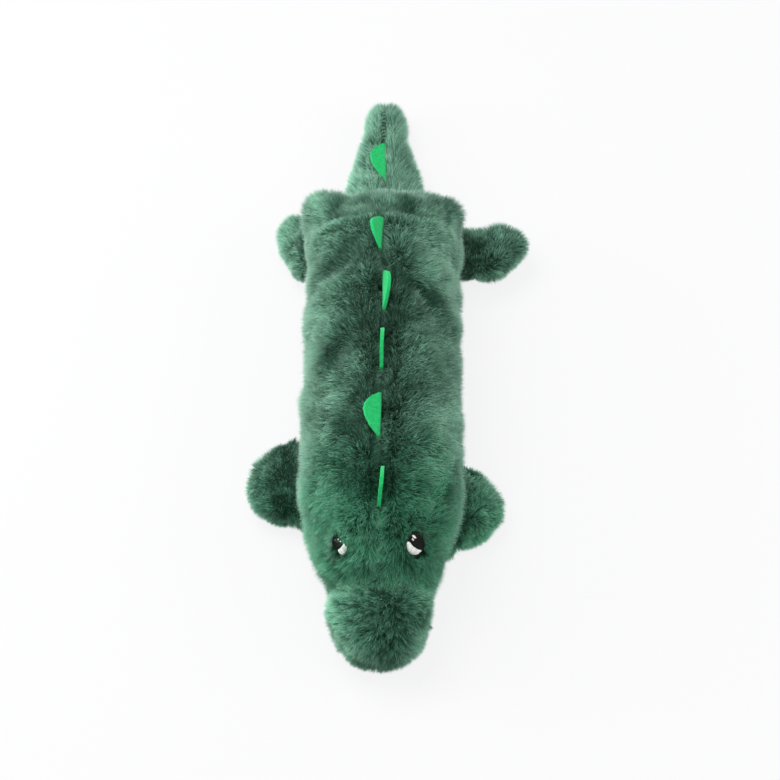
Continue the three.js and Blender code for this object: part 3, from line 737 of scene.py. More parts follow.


# How the cloth lies over the bottle, seen from above: from, to, half width, how high the ridge
# or how deep the valley is, how much painted light pales or painted shade darkens its pile. All in
# millimetres.
RIDGE_COLUMN, PAINTED_LIGHT_COLUMN = 3, 4
FOLDS = (
    ((-14.5, 90.9), (-30.6, 75.8), 7, -1.8, -0.24),
    ((-8.1, 71.7), (-37.7, 59.3), 7, 1.4, 0.16),
    ((-6.6, 41.6), (-27.4, 20), 8, -1.8, -0.22),
    ((-27.4, 20), (-31.4, -1.2), 7, -1.5, -0.2),
    ((-15.2, -26.9), (-17, -24), 10, -1.0, -0.2),
    ((8.6, 67.8), (24, 59), 7, -1.8, -0.25),
    ((24, 59), (41.6, 41.3), 6, -1.8, -0.25),
    ((18, -2.2), (20, -1), 9, -0.8, -0.16),
    ((34, -18), (33, -14), 10, 0.6, 0.16),
    ((33.8, -41.8), (33.7, -58.6), 6, -1.0, -0.22),
    ((34.8, 57.3), (41.7, 47.5), 4, 1.1, 0.18),
    ((-33.1, 60), (-35.6, -9.5), 5, 0.9, 0.14),
    ((14, 96), (22, 76), 8, 0.9, 0.1),
    ((-22, 2), (-8, 14), 8, 0.7, 0.1),
    ((12, 30), (26, 14), 9, 0.8, 0.08),
    ((0, -80), (-2, -98), 6, 0.5, 0.12),
    ((30, -94), (27, -102), 3.5, -3.2, -0.5),
    ((-29, -98), (-20, -106), 5, -1.2, -0.15),
    ((33, 144), (43, 116), 3.5, -2.0, -0.3),
    ((-41, 134), (-42, 112), 3.0, -1.6, -0.25),
    ((5, 141), (27, 139), 2.2, -1.4, -0.3),
    ((-28, 127), (-12, 130), 6, -1.0, -0.2),
    ((9, 129), (14, 119), 4, -0.8, -0.15),
)

FOLD_STRENGTH = 1.8

# Places that the cloth stands out or sinks at, on both sides alike.
REAR_CORNER = (37 * MM, 145 * MM, 57 * MM)
REAR_SIDE = (45 * MM, 137 * MM, 50 * MM)
REAR_DIP = (25 * MM, 138 * MM, 66 * MM)
CHEEK = (33 * MM, -96 * MM, 34 * MM)
SNOUT_SIDE = (29 * MM, -118 * MM, 26 * MM)


def blob(points, place, reach):
    """A soft round patch about a place, and its twin on the other side of the toy."""
    away = np.column_stack([np.abs(points[:, 0]), points[:, 1:]]) - np.array(place)
    return ridge(np.linalg.norm(away, axis=1), reach)


def fold_sum(points, column):
    """What all the folds together add at each point, from one column of their table."""
    total = np.zeros(len(points))
    for fold in FOLDS:
        start, end = (np.array(fold[k]) * MM for k in (0, 1))
        step = end - start
        along = np.clip((points[:, :2] - start) @ step / (step @ step), 0, 1)
        away = np.linalg.norm(points[:, :2] - start - along[:, None] * step, axis=1)
        total += fold[column] * ridge(away, fold[2] * MM)
    return total


def facing_up(normals):
    return np.clip(normals[:, 2] * 2 + 0.2, 0, 1)


# The embroidered eyes: how each one turns, and its size.
EYE_WIDTH = 9.2 * MM
EYE_LENGTH = 10.8 * MM
EYE_TILT = math.radians(27)
EYE_REACH_DOWN = 6 * MM  # the pile further below an eye isn't trimmed for it
SLANT = math.radians(12)  # how the slit that the lids leave turns from the eye's length
SLIT_HALF_WIDTH = 0.42  # of half the eye's width


class Eye:
    """One eye's own axes: across it, away from the other eye, and along it, to its far end."""

    def __init__(self, name, side):
        parts = [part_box(f"eye_{part}_{name}") for part in ("white", "black")]
        low = np.min([box[0] for box in parts], axis=0)
        high = np.max([box[1] for box in parts], axis=0)
        self.name = name
        self.floor = low[2] - EYE_REACH_DOWN
        self.middle = (np.array(low) + np.array(high)) / 2
        self.across = np.array([side * math.cos(EYE_TILT), -math.sin(EYE_TILT)])
        self.along = np.array([side * math.sin(EYE_TILT), math.cos(EYE_TILT)])

    def place(self, points):
        """How far points lie across and along the eye."""
        offset = points[:, :2] - self.middle[:2]
        return offset @ self.across, offset @ self.along

    def distance(self, points):
        """Roughly how far points lie outside the eye's oval."""
        across, along = self.place(points)
        share = np.hypot(across / (EYE_WIDTH / 2), along / (EYE_LENGTH / 2))
        below = np.clip(self.floor - points[:, 2], 0, None)
        return (share - 1) * (EYE_WIDTH + EYE_LENGTH) / 4 + 2 * below

    def beside_slit(self, across, along):
        """How many half widths of the eye a place on it lies beside its slit."""
        beside = (along * math.sin(SLANT) - across * math.cos(SLANT)) / (EYE_WIDTH / 2)
        return np.where(beside > 0, 0.85 * beside, -1.3 * beside) * COMBED_OVER[self.name]

    def lids(self, points):
        """Where the pile hides the eye: over its oval and round it, beside the slit."""
        close = 1 - smooth_step(self.distance(points), 1.0 * MM, 3.0 * MM)
        return close * smooth_step(
            self.beside_slit(*self.place(points)), SLIT_HALF_WIDTH - 0.14, SLIT_HALF_WIDTH
        )


EYES = (Eye("left", -1), Eye("right", 1))
EYE_PILE_ROOM = 3.4 * MM  # how far round an eye the pile is trimmed and combed off it
EYE_BARE_RIM = 0.4 * MM  # the width of the eye's own rim that pile still grows on
HEM_PILE_RISE = math.radians(32)  # how much more upright the pile stands along the hem
# The pile closes over the left eye from both sides and leaves a slit.
COMBED_OVER = {"left": 1.0, "right": 0.0}


def trim_round_eyes(roots):
    """What each strand keeps of its length, the way it is combed off the eyes, and its bend."""
    keep = np.ones(len(roots))
    part = np.zeros((len(roots), 3))
    bent = np.zeros(len(roots))
    for eye in EYES:
        away = eye.distance(roots)
        close = np.clip(1 - away / EYE_PILE_ROOM, 0, 1)
        lids = eye.lids(roots)
        limit = np.clip((away + 2.8 * MM) / EYE_PILE_ROOM, 0, 1) * (away > -EYE_BARE_RIM)
        over = 1.5 - 0.6 * smooth_step(away, -1.0 * MM, 1.5 * MM)
        keep = np.where(lids > 0.3, over * lids, keep * limit)
        outward = unit(np.column_stack([roots[:, :2] - eye.middle[:2], np.zeros(len(roots))]))
        front = smooth_step(eye.middle[1] - roots[:, 1], 1 * MM, 4 * MM)
        part += outward * (close * (1 - lids) * (0.5 - 2.2 * front))[:, None]
    standing = smooth_step(roots[:, 1], HEM_Y - 6 * MM, HEM_Y - 1 * MM)
    bent -= HEM_PILE_RISE * standing * (np.abs(roots[:, 0]) < FLAP_HALF_WIDTH)
    return keep, part, bent


def sleeve_depth(points, normals):
    """The pile is deepest over the back, pressed thin under the belly and short on the snout."""
    under = np.clip(-normals[:, 2], 0, 1)
    hem = ridge(points[:, 1] - HEM_Y, 11 * MM) * (points[:, 2] > SIDE_SEAM_Z)
    depth = 8.4 - 5.6 * under - 2.9 * hem
    snout = smooth_step(-points[:, 1], -SNOUT_SEAM_Y - 4 * MM, -SNOUT_SEAM_Y + 6 * MM)
    depth += snout * (6.6 - 2.6 * under - depth)
    depth *= MM
    for eye in EYES:
        close = 1 - smooth_step(eye.distance(points), -1.5 * MM, 2.8 * MM)
        depth = depth * (1 - close) + 2.2 * MM * close
    return depth


def sleeve_relief(points, normals):
    """Folds over the bottle, the valley of the centre seam and the crease behind the snout."""
    top = facing_up(normals)
    relief = FOLD_STRENGTH * fold_sum(points, RIDGE_COLUMN) * top
    relief *= 1 - 0.7 * smooth_step(np.abs(normals[:, 0]), 0.45, 0.9)
    relief += 0.6 * waves(71, 26 * MM)(points) + 0.4 * waves(72, 13 * MM)(points)
    seamed = (points[:, 1] > SNOUT_SEAM_Y) & (points[:, 1] < HEM_Y)
    relief -= 1.1 * ridge(points[:, 0], 2.6 * MM) * top * seamed
    crease = ridge(points[:, 1] - SNOUT_SEAM_Y, 3.5 * MM)
    relief -= 0.4 * crease
    relief += 1.6 * ridge(points[:, 1] - SNOUT_SEAM_Y - 6 * MM, 5 * MM) * top
    relief += 6.5 * blob(points, REAR_CORNER, 11 * MM) - 2.5 * blob(points, REAR_DIP, 8 * MM)
    right = smooth_step(points[:, 0], -10 * MM, 10 * MM)
    relief += (4.5 - right) * blob(points, REAR_SIDE, 12 * MM)
    relief += 2.5 * blob(points, CHEEK, 11 * MM) + 2.0 * blob(points, SNOUT_SIDE, 11 * MM)
    side = ridge(points[:, 2] - SIDE_SEAM_Z, 3 * MM)
    relief -= 1.0 * side
    under = np.clip(-normals[:, 2] * 2, 0, 1)
    for eye in EYES:
        relief *= smooth_step(eye.distance(points), 0, 6 * MM)
        relief += 1.2 * eye.lids(points)
    return relief * (1 - under) * MM


def painted_side_light(points, normals):
    """Painted side light: the pile is painted paler where the cloth turns down at the sides, and
    most on the left, where the light comes from.
    """
    sideways = smooth_step(np.abs(normals[:, 0]), 0.4, 0.95)
    paler = sideways * np.where(points[:, 0] < 0, 0.9, 0.6)
    return paler * (1 - 0.6 * blob(points, REAR_SIDE, 16 * MM))


def back_painted_light(points, normals):
    """Painted shade in the valleys and along the seam; paler on the right and the forehead; painted
    light on the ridges, the sides, the hem's edge and towards the rear.
    """
    top = facing_up(normals)
    painted_light_and_shade = 2.1 * fold_sum(points, PAINTED_LIGHT_COLUMN) * top + painted_side_light(points, normals) - 0.06
    painted_light_and_shade -= 0.35 * ridge(points[:, 0], 1.4 * MM) * top
    painted_light_and_shade += 0.12 * smooth_step(points[:, 0], 4 * MM, 20 * MM) * top
    painted_light_and_shade += 0.26 * smooth_step(-points[:, 1], 55 * MM, 75 * MM) * top
    painted_light_and_shade += 0.2 * smooth_step(points[:, 1], HEM_Y - 4 * MM, HEM_Y) * top
    return painted_light_and_shade + 0.1 * smooth_step(points[:, 1], 95 * MM, 135 * MM)


def flap_painted_light(points, normals):
    """Painted shade in the step behind the hem, in the folds' valleys and across the dip over the
    tail, some painted side light and a random mottle.
    """
    painted_light_and_shade = 0.3 * painted_side_light(points, normals) + 0.14 * waves(76, 12 * MM)(points) - 0.1
    painted_light_and_shade += 1.5 * fold_sum(points, PAINTED_LIGHT_COLUMN) * facing_up(normals)
    painted_light_and_shade -= 0.4 * ridge(points[:, 1] - HEM_Y, 4 * MM)
    return painted_light_and_shade - 0.2 * blob(points, REAR_DIP, 8 * MM)


def snout_painted_light(points, normals):
    """The top of the snout lies darkest, right of its middle; painted light makes its sides paler
    and its left side palest.
    """
    dark = ridge(points[:, 0] - 8 * MM, 14 * MM)
    dark *= ridge(points[:, 1] + 117 * MM, 13 * MM) * facing_up(normals)
    pale = smooth_step(-points[:, 0], 2 * MM, 24 * MM)
    return -0.04 - 0.36 * dark + 0.14 * pale + 0.6 * painted_side_light(points, normals)


def paw_painted_light(paler, root):
    """Painted light and shade on a paw: painted shade near its root, where it lies under the body,
    painted light round its rim, and on some paws painted light all over.
    """

    def painted_light_and_shade(points, normals):
        rim = 1 - smooth_step(normals[:, 2], 0.1, 0.75)
        near = 1 - smooth_step(np.abs(points[:, 0] - root[0]), 6 * MM, 22 * MM)
        return 0.45 * rim - (0.36 - 1.1 * paler) * near - 0.02 + paler

    return painted_light_and_shade


def tail_painted_light(points, normals):
    """Painted shade along the seam's valley on the tail's top, and some painted side light."""
    seam = ridge(points[:, 0], 1.6 * MM) * facing_up(normals)
    return 0.5 * painted_side_light(points, normals) - 0.4 * seam - 0.06


def body_nap(points, normals):
    """The pile lies towards the head, and is brushed up where the cloth turns down."""
    outward = np.clip(points[:, 0] / (30 * MM), -1, 1)
    lay = np.zeros_like(points)
    lay[:, 0] = outward * 0.15
    lay[:, 1] = -1.0
    lay[:, 2] = 1.1 * smooth_step(np.abs(normals[:, 0]), 0.3, 0.9) - 0.2
    return lay


def flap_nap(points, normals):
    """The flap's pile lies backwards beside the hem, and forwards behind that."""
    lay = np.zeros_like(points)
    lay[:, 0] = np.clip(points[:, 0] / (30 * MM), -1, 1) * 0.2
    lay[:, 1] = 0.8 - 1.8 * smooth_step(points[:, 1], HEM_Y + 1 * MM, HEM_Y + 9 * MM)
    lay[:, 2] = 0.2
    return lay


def snout_nap(points, normals):
    """The pile lies forwards and outwards over the nose and hangs down in front."""
    lay = np.zeros_like(points)
    lay[:, 0] = points[:, 0] - 2 * MM
    lay[:, 1] = -18 * MM + 36 * MM * smooth_step(points[:, 1], -119 * MM, -107 * MM)
    lay[:, 2] = -14 * MM
    return lay


def tail_nap(points, normals):
    lay = np.zeros_like(points)
    lay[:, 0] = np.clip(points[:, 0] / (14 * MM), -1, 1) * 0.4
    lay[:, 1] = 0.9
    lay[:, 2] = -0.1
    return lay


def limb_depth(points, normals):
    under = np.clip(-normals[:, 2], 0, 1)
    return (6.6 - 3.0 * under) * MM


# How the pile grows. Lengths of patterns are how coarse they are, angles are in degrees, and
# what isn't said otherwise is a share or, for stray, wild, tuft_lean and tuft_side, a spread.
STYLE = {
    "density": 4.6,  # strands to a square millimetre of cloth
    "width": 0.5 * MM,  # of a strand at its root: coarser than a real one, so that it shows
    "length": 1.0,  # times the height of the pile
    "lean": 22,
    "side_lean": 0,  # more that it leans where it faces sideways
    "stand": 8,  # how much some patches stand up and others lie down
    "stand_length": 18 * MM,
    "stray": 0.19,  # strands lean unlike their neighbours
    "wild": 0.3,  # strands lie in other directions than their neighbours
    "sway_length": 70 * MM,
    "sway": 0.25,  # the lie turns slowly from place to place
    "ruffle_length": 10 * MM,
    "ruffle": 0.24,  # and quickly
    "tuft": 1.4 * MM,
    "tuft_lean": 0.07,
    "tuft_side": 0.1,
    "gather": 0.1,  # how far the tips of one tuft draw together
    "uneven": 0.05,  # how unlike the tufts' lengths are
    "form_share": 0.8,  # how much a strand is lit as the cloth below it is
    "shade": 0.36,  # from 0, the darkest pile, to 1, the palest
    "patch": 26 * MM,
    "patchiness": 0.16,
    "tuft_shade": 0.05,
    "strand_shade": 0.34,
}
back_style = dict(STYLE, painted_light_and_shade=back_painted_light, trim=trim_round_eyes, side_lean=14, density=4.5)
flap_style = dict(STYLE, painted_light_and_shade=flap_painted_light, density=4.8, lean=24)
belly_style = dict(STYLE, density=2.2, width=0.62 * MM)
limb_style = dict(
    STYLE,
    density=5.4,
    lean=20,
    wild=0.5,
    ruffle=0.45,
    ruffle_length=8 * MM,
    tuft=1.3 * MM,
    tuft_lean=0.06,
    tuft_side=0.12,
    uneven=0.03,
    patch=12 * MM,
)
snout_style = dict(
    limb_style,
    painted_light_and_shade=snout_painted_light,
    shade=0.42,
    lean=32,
    ruffle=0.5,
    ruffle_length=9 * MM,
    gather=0.32,
    tuft=2.6 * MM,
    tuft_lean=0.16,
    tuft_side=0.25,
    tuft_shade=0.08,
)
# The tail's pile is painted paler all over, for the light on its nap: its shade is 0.64.
tail_style = dict(
    limb_style, painted_light_and_shade=tail_painted_light, shade=0.64, lean=36, wild=0.3, ruffle=0.12, gather=0.24
)

fur = make_fur_material(
    "faux fur pile",
    (
        [(0.0, "#06140e"), (0.45, "#0f2c20"), (0.8, "#1d4635"), (1.0, "#2f614a")],
        [(0.0, "#0f281d"), (0.45, "#2f5f49"), (0.8, "#7db79a"), (1.0, "#daf6e8")],
    ),
    (
        [(0.0, "#05170e"), (0.45, "#0c3323"), (0.8, "#185a3f"), (1.0, "#287a55")],
        [(0.0, "#0c2c1e"), (0.45, "#23694c"), (0.8, "#58b288"), (1.0, "#b2eccf")],
    ),
    "#123023",
)
set_stage()

# The sleeve with the head and the snout: panels cut from one form


def sleeve_seams(points):
    side = np.abs(points[:, 2] - SIDE_SEAM_Z)
    centre = np.where(points[:, 2] > SIDE_SEAM_Z, np.abs(points[:, 0]), 1.0)
    return np.minimum(np.minimum(side, centre), np.abs(points[:, 1] - SNOUT_SEAM_Y))


sleeve_form = form_from(
    "sleeve_form",
    [
        "back_panel_left", "back_panel_right", "belly_panel", "rear_flap", "lining_pouch",
        "bottle", "head_stuffing", "eye_white_left", "eye_black_left", "eye_white_right",
        "eye_black_right", "snout_top", "snout_chin", "snout_stuffing", "squeaker_case",
    ],
    2.4 * MM,
    sleeve_seams,
    2.0 * MM,
)
sleeve_skin = surface_tree(sleeve_form.data)
draw_in(sleeve_form, sleeve_depth, sleeve_relief)
sleeve_cloth_skin = surface_tree(sleeve_form.data)
sleeve_cuts = [
    ((0, 0, 0), (1, 0, 0)),
    ((0, 0, SIDE_SEAM_Z), (0, 0, 1)),
    ((0, 0, MOUTH_SEAM_Z), (0, 0, 1)),
    ((FLAP_HALF_WIDTH, 0, 0), (1, 0, 0)),
    ((-FLAP_HALF_WIDTH, 0, 0), (1, 0, 0)),
    ((0, HEM_Y, 0), (0, 1, 0)),
    ((0, HEAD_Y, 0), (0, 1, 0)),
    ((0, SNOUT_SEAM_Y, 0), (0, 1, 0)),
]
LAP = 7 * MM  # how far the flap reaches under the hem
CLOTH = 1.2 * MM  # the knitted backing
TAPE = 0.9 * MM  # one half of the hook-and-loop fastener
HEM_STEP = CLOTH + 2 * TAPE + 0.2 * MM
FLAP_SINK = 1.2 * MM  # how much deeper the flap dips just behind the hem


def over_side_seam(p):
    return p.z > SIDE_SEAM_Z and p.y > SNOUT_SEAM_Y


def in_flap(p):
    return over_side_seam(p) and abs(p.x) < FLAP_HALF_WIDTH and p.y > HEM_Y


def on_back(side, from_y, to_y):
    return lambda p: over_side_seam(p) and p.x * side > 0 and from_y < p.y < to_y and not in_flap(p)


PANELS = (
    ("back_panel_left", "back_panel_left", on_back(-1, HEAD_Y, 1), body_nap, back_style),
    ("back_panel_right", "back_panel_right", on_back(1, HEAD_Y, 1), body_nap, back_style),
    ("head_left", "back_panel_left", on_back(-1, -1, HEAD_Y), body_nap, back_style),
    ("head_right", "back_panel_right", on_back(1, -1, HEAD_Y), body_nap, back_style),
    ("belly_panel", "belly_panel", lambda p: p.z < SIDE_SEAM_Z and p.y > SNOUT_SEAM_Y,
     body_nap, belly_style),
    ("snout_top", "snout_top", lambda p: p.z > MOUTH_SEAM_Z and p.y < SNOUT_SEAM_Y,
     snout_nap, snout_style),
    ("snout_chin", "snout_chin", lambda p: p.z < MOUTH_SEAM_Z and p.y < SNOUT_SEAM_Y,
     snout_nap, snout_style),
)
for number, (name, node, keep, nap, style) in enumerate(PANELS):
    panel = cut_panel(sleeve_form, name + "_cloth", sleeve_cuts, keep)
    pile = grow_pile(panel, nap, style, 1100 + 10 * number)
    piece = plush_piece(name + "_plush", panel, CLOTH, pile, fur)
    finish(piece, "sleeve", "fur", node, padded=0.8 if node.startswith("snout") else None)


def lower_flap(panel):
    """The flap lies a pile's thickness below the hem and runs on under it."""
    mesh = panel.data
    points, normals = coordinates(mesh), vertex_normals(mesh)
    lap = np.clip(HEM_Y - points[:, 1], 0, LAP)
    dip = HEM_STEP + FLAP_SINK * smooth_step(points[:, 1], HEM_Y, HEM_Y + 3 * MM)
    fall = dip * (1 - smooth_step(points[:, 1], HEM_Y + 4 * MM, HEM_Y + 22 * MM)) + 0.1 * lap
    set_coordinates(mesh, points - normals * fall[:, None])


flap_panel = cut_panel(
    sleeve_form,
    "flap_cloth",
    [
        ((0, 0, SIDE_SEAM_Z), (0, 0, 1)),
        ((FLAP_HALF_WIDTH, 0, 0), (1, 0, 0)),
        ((-FLAP_HALF_WIDTH, 0, 0), (1, 0, 0)),
        ((0, HEM_Y - LAP, 0), (0, 1, 0)),
    ],
    lambda p: p.z > SIDE_SEAM_Z and abs(p.x) < FLAP_HALF_WIDTH and p.y > HEM_Y - LAP,
)
lower_flap(flap_panel)
flap_cloth_skin = surface_tree(flap_panel.data)


def trim_under_hem(roots):
    """No pile grows where the loop strip is sewn on, under the hem."""
    keep = smooth_step(roots[:, 1], HEM_Y - 1.5 * MM, HEM_Y + 1 * MM)
    return keep, np.zeros((len(roots), 3)), np.zeros(len(roots))


flap_pile = grow_pile(flap_panel, flap_nap, dict(flap_style, trim=trim_under_hem), 1180)
finish(
    plush_piece("rear_flap_plush", flap_panel, CLOTH, flap_pile, fur), "flap", "fur", "rear_flap"
)
bpy.data.objects.remove(sleeve_form)

# The stuffed tail and paws

HINGE_REACH = 15 * MM  # how far out from its seam a limb's cloth bends
ROOT_REACH = 5 * MM  # how far a limb's sewn-in end reaches into the sleeve's pile
OUTWARD = {
    "tail": (0, 1, 0),
    "front_left_paw": (-1, 0, 0),
    "front_right_paw": (1, 0, 0),
    "rear_left_paw": (-1, 0, 0),
    "rear_right_paw": (1, 0, 0),
}
HINGES = {
    joint["child"]: (
        np.array(joint["pos_m"]),
        np.array(joint["pos_m"]) + np.array(OUTWARD[joint["child"]]) * HINGE_REACH,
    )
    for joint in frame["record"]["behaviour"]["joints"]
    if joint["child"] in OUTWARD
}


def paw_nap(side, root):
    """The pile of a paw lies forwards, and a little outwards from its root."""

    def nap(points, normals):
        lay = (points - root) / (40 * MM)
        lay[:, 0] += side * 0.2
        lay[:, 1] -= 1.0
        lay[:, 2] += 0.3
        return lay

    return nap


def sewn_root(direction):
    """The end that faces the sleeve reaches into the sleeve's pile."""

    def root(points, normals):
        shared = smooth_step(normals @ direction, 0.35, 0.8)
        return shared, ROOT_REACH * smooth_step(points[:, 2], 0.5 * MM, 8 * MM)

    return root


SWELLING_REACH = 9.5 * MM


def limb_relief(seed, swellings=()):
    """Lumps of wadding, and places where the cloth stands out or sinks by so many millimetres."""

    def relief(points, normals):
        under = np.clip(-normals[:, 2] * 2, 0, 1)
        lumps = 0.7 * waves(seed, 22 * MM)(points) + 0.4 * waves(seed + 1, 11 * MM)(points)
        lumps *= 1 - under
        for height, place in swellings:
            lumps += height * blob(points, np.array(place) * MM, SWELLING_REACH)
        return lumps * MM

    return relief


# Each paw: its side, how much painted light makes its pile paler, and where its cloth swells or
# sinks, in mm.
PAWS = {
    "front_left": (-1, 0.04, ((-4.0, (76, -22, 12)), (-3.0, (68, -55, 10)), (-4.0, (50, -58, 12)))),
    "front_right": (1, 0.46, ((-3.0, (67, -24, 12)), (-2.0, (48, -70, 10)))),
    "rear_left": (-1, 0.36, ((8.5, (51, 109, 10)), (6.0, (56, 150, 14)), (1.5, (66, 130, 14)))),
    "rear_right": (1, 0.1, ((9.0, (49, 105, 12)), (4.5, (66, 107, 14)), (1.5, (66, 147, 18)))),
}
for number, (name, (side, paler, swellings)) in enumerate(PAWS.items()):
    body = name + "_paw"
    parts = [f"paw_{part}_{name}" for part in ("top", "sole", "stuffing")]
    seam_z = (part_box(parts[0])[0][2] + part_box(parts[1])[1][2]) / 2
    form = form_from(
        name + "_form", parts, 2.0 * MM, lambda p, z=seam_z: np.abs(p[:, 2] - z), 1.5 * MM
    )
    inward = np.array([-side, 0.0, 0.0])
    draw_in(form, limb_depth, limb_relief(300 + number, swellings), sewn_root(inward))
    for half, node in enumerate(parts[:2]):
        keep = (lambda p, z=seam_z: p.z > z) if half == 0 else (lambda p, z=seam_z: p.z < z)
        panel = cut_panel(form, node + "_cloth", [((0, 0, seam_z), (0, 0, 1))], keep)
        style = dict(limb_style, painted_light_and_shade=paw_painted_light(paler, HINGES[body][0]))
        pile = grow_pile(
            panel, paw_nap(side, HINGES[body][0]), style, 2100 + 100 * number + 10 * half
        )
        piece = plush_piece(node + "_plush", panel, CLOTH, pile, fur)
        finish(piece, None, "fur", node, padded=0.8)
        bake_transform(piece)
    bpy.data.objects.remove(form)

tail_form = form_from(
    "tail_form",
    ["tail_left", "tail_right", "tail_stuffing"],
    2.0 * MM,
    lambda p: np.abs(p[:, 0]),
    1.5 * MM,
)
tail_skin = surface_tree(tail_form.data)


def tail_relief(points, normals):
    """Lumps of wadding, and the valley of the seam along the top."""
    valley = 1.8 * MM * ridge(points[:, 0], 2.2 * MM) * facing_up(normals)
    tip = 1.8 * MM * smooth_step(points[:, 1], 215 * MM, 232 * MM)
    return 0.4 * limb_relief(330)(points, normals) - valley + tip


def trim_at_tail_spike(roots):
    """The pile lies shorter under the spike that has flopped over it."""
    low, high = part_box("tail_spike")
    beyond = np.maximum(low[1] - roots[:, 1], roots[:, 1] - high[1] - 3 * MM)
    aside = np.maximum(-roots[:, 0] - 10 * MM, roots[:, 0])
    under = (1 - smooth_step(beyond, 0, 3 * MM)) * (1 - smooth_step(aside, 0, 1.5 * MM))
    return 1 - 0.5 * under, np.zeros((len(roots), 3)), np.zeros(len(roots))


tail_style["trim"] = trim_at_tail_spike
draw_in(tail_form, limb_depth, tail_relief, sewn_root(np.array([0.0, -1.0, 0.0])))
for side, node in ((-1, "tail_left"), (1, "tail_right")):
    panel = cut_panel(
        tail_form, node + "_cloth", [((0, 0, 0), (1, 0, 0))], lambda p, s=side: p.x * s > 0
    )
    pile = grow_pile(panel, tail_nap, tail_style, 3110 + side)
    piece = plush_piece(node + "_plush", panel, CLOTH, pile, fur)
    finish(piece, None, "fur", node, padded=0.8)
    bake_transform(piece)
bpy.data.objects.remove(tail_form)

# The felt spikes


def make_felt_material():
    """Needle-punched acrylic felt: matt, with matted fibres and a faint nap at its cut edges."""
    material, tree, shader = new_material(
        "needle-punched felt",
        {
            "Roughness": 0.92,
            "Specular IOR Level": 0.15,
            "Sheen Weight": 0.35,
            "Sheen Roughness": 0.5,
            "Sheen Tint": linear("#8ff0bd"),
        },
    )
    cloud = object_noise(tree, 1.6)
    fibre = object_noise(tree, 0.32, 4.0, (1.0, 0.35, 1.0))
    mixed = add_node(
        tree, "ShaderNodeMath", {"operation": "MULTIPLY_ADD"}, {0: fibre, 1: 0.6, 2: 0.1}
    )
    both = add_node(
        tree,
        "ShaderNodeMath",
        {"operation": "MULTIPLY_ADD"},
        {0: cloud, 1: 0.4, 2: mixed.outputs[0]},
    )
    greens = [(0.3, "#0a7a40"), (0.55, "#12954f"), (0.85, "#22ad66")]
    dress(tree, shader, both.outputs[0], greens, fibre, 0.25, 0.8)
    return material


felt = make_felt_material()
SPIKE_HEIGHT = 10.5 * MM
SPIKE_ROOT = 4.5 * MM
SPIKE_SUNK = 3.4 * MM  # how deep a spike's foot lies in the pile
BESIDE_SEAM = 6 * MM  # where the pile's height is taken, clear of the seam's valley
FLOP_HEIGHT = 2.5 * MM  # a spike has bent all the way over at this height
FELT_THICKNESS = 1.8 * MM
# Each spike along the back: degrees that it flops over, its share of the full height, how far
# its point and its blunt end lie behind their places in the solid, and how far they lie off the
# centre seam, in millimetres.
SPIKES = (
    (-33, 0.95, (6.8, 3.6), (-1.5, -0.3)),
    (20, 0.95, (5.0, 5.0), (1.2, 1.0)),
    (2, 1.0, (6.4, 6.2), (0, 0.1)),
    (-58, 0.94, (3.2, 4.6), (-1.2, -0.6)),
    (0, 1.0, (4.2, 1.4), (-0.6, 1.2)),
)
TAIL_SPIKE = (-64, 0.9, (-2.6, 4.0), (0.5, 0.0))


def skin_height(skin, x, y):
    hit = skin.ray_cast(Vector((x, y, 0.2)), Vector((0, 0, -1)))
    return hit[0].z if hit[0] else 0.0


def felt_spike(name, node, skin, form, seed):
    """A half-round blade of felt: a grid bent to its outline, made thick and rounded off."""
    lean, height_share, back, off = form
    low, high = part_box(node)
    places = np.array([low[1] + back[0] * MM, high[1] + back[1] * MM])
    length, middle_y = places[1] - places[0], places.mean()
    ends = [skin_height(skin, BESIDE_SEAM, y) for y in places]
    slope = math.atan2(ends[1] - ends[0], length)
    root_z = (ends[0] + ends[1]) / 2 - SPIKE_SUNK
    deselect()
    bpy.ops.mesh.primitive_grid_add(x_subdivisions=30, y_subdivisions=12, size=1)
    piece = bpy.context.object
    piece.name = name
    grid = coordinates(piece.data)
    along = grid[:, 0] + 0.5  # 0 at the point, in front, and 1 at the blunt end
    outline = np.sin(np.pi * np.clip(along, 0, 1) ** 1.2).clip(0, 1) ** 0.8
    crown = height_share * SPIKE_HEIGHT * outline
    height = -SPIKE_ROOT + (crown + SPIKE_ROOT) * (grid[:, 1] + 0.5)
    y = (along - 0.5) * length
    seam_x = (off[0] + (off[1] - off[0]) * along) * MM
    free = np.clip(height, 0, None)
    angle = math.radians(lean) * np.clip(free / FLOP_HEIGHT, 0, 1) ** 0.5
    curl = 0.5 * MM * np.sin(3.1 * along + seed) * (free / SPIKE_HEIGHT)
    x = seam_x + np.sin(angle) * free + curl
    z = np.where(height < 0, height, np.cos(angle) * free)
    level, rise = math.cos(slope), math.sin(slope)
    tilted = [x, middle_y + y * level - z * rise, root_z + y * rise + z * level]
    set_coordinates(piece.data, np.stack(tilted, 1))
    modify(piece, "SOLIDIFY", thickness=FELT_THICKNESS, offset=0)
    modify(piece, "BEVEL", width=0.6 * MM, segments=3, limit_method="ANGLE")
    modify(piece, "SUBSURF", levels=1, render_levels=1)
    points = coordinates(piece.data)
    points += vertex_normals(piece.data) * (0.07 * MM * waves(seed, 2.4 * MM)(points))[:, None]
    set_coordinates(piece.data, points)
    bpy.ops.object.shade_smooth()
    piece.data.materials.append(felt)
    return piece


for number, form in enumerate(SPIKES):
    node = f"spike_{number + 1}"
    finish(felt_spike(node + "_felt", node, sleeve_skin, form, 40 + number), "sleeve", "felt", node)
finish(
    felt_spike("tail_spike_felt", "tail_spike", tail_skin, TAIL_SPIKE, 47),
    "tail",
    "felt",
    "tail_spike",
)

# The embroidered eyes


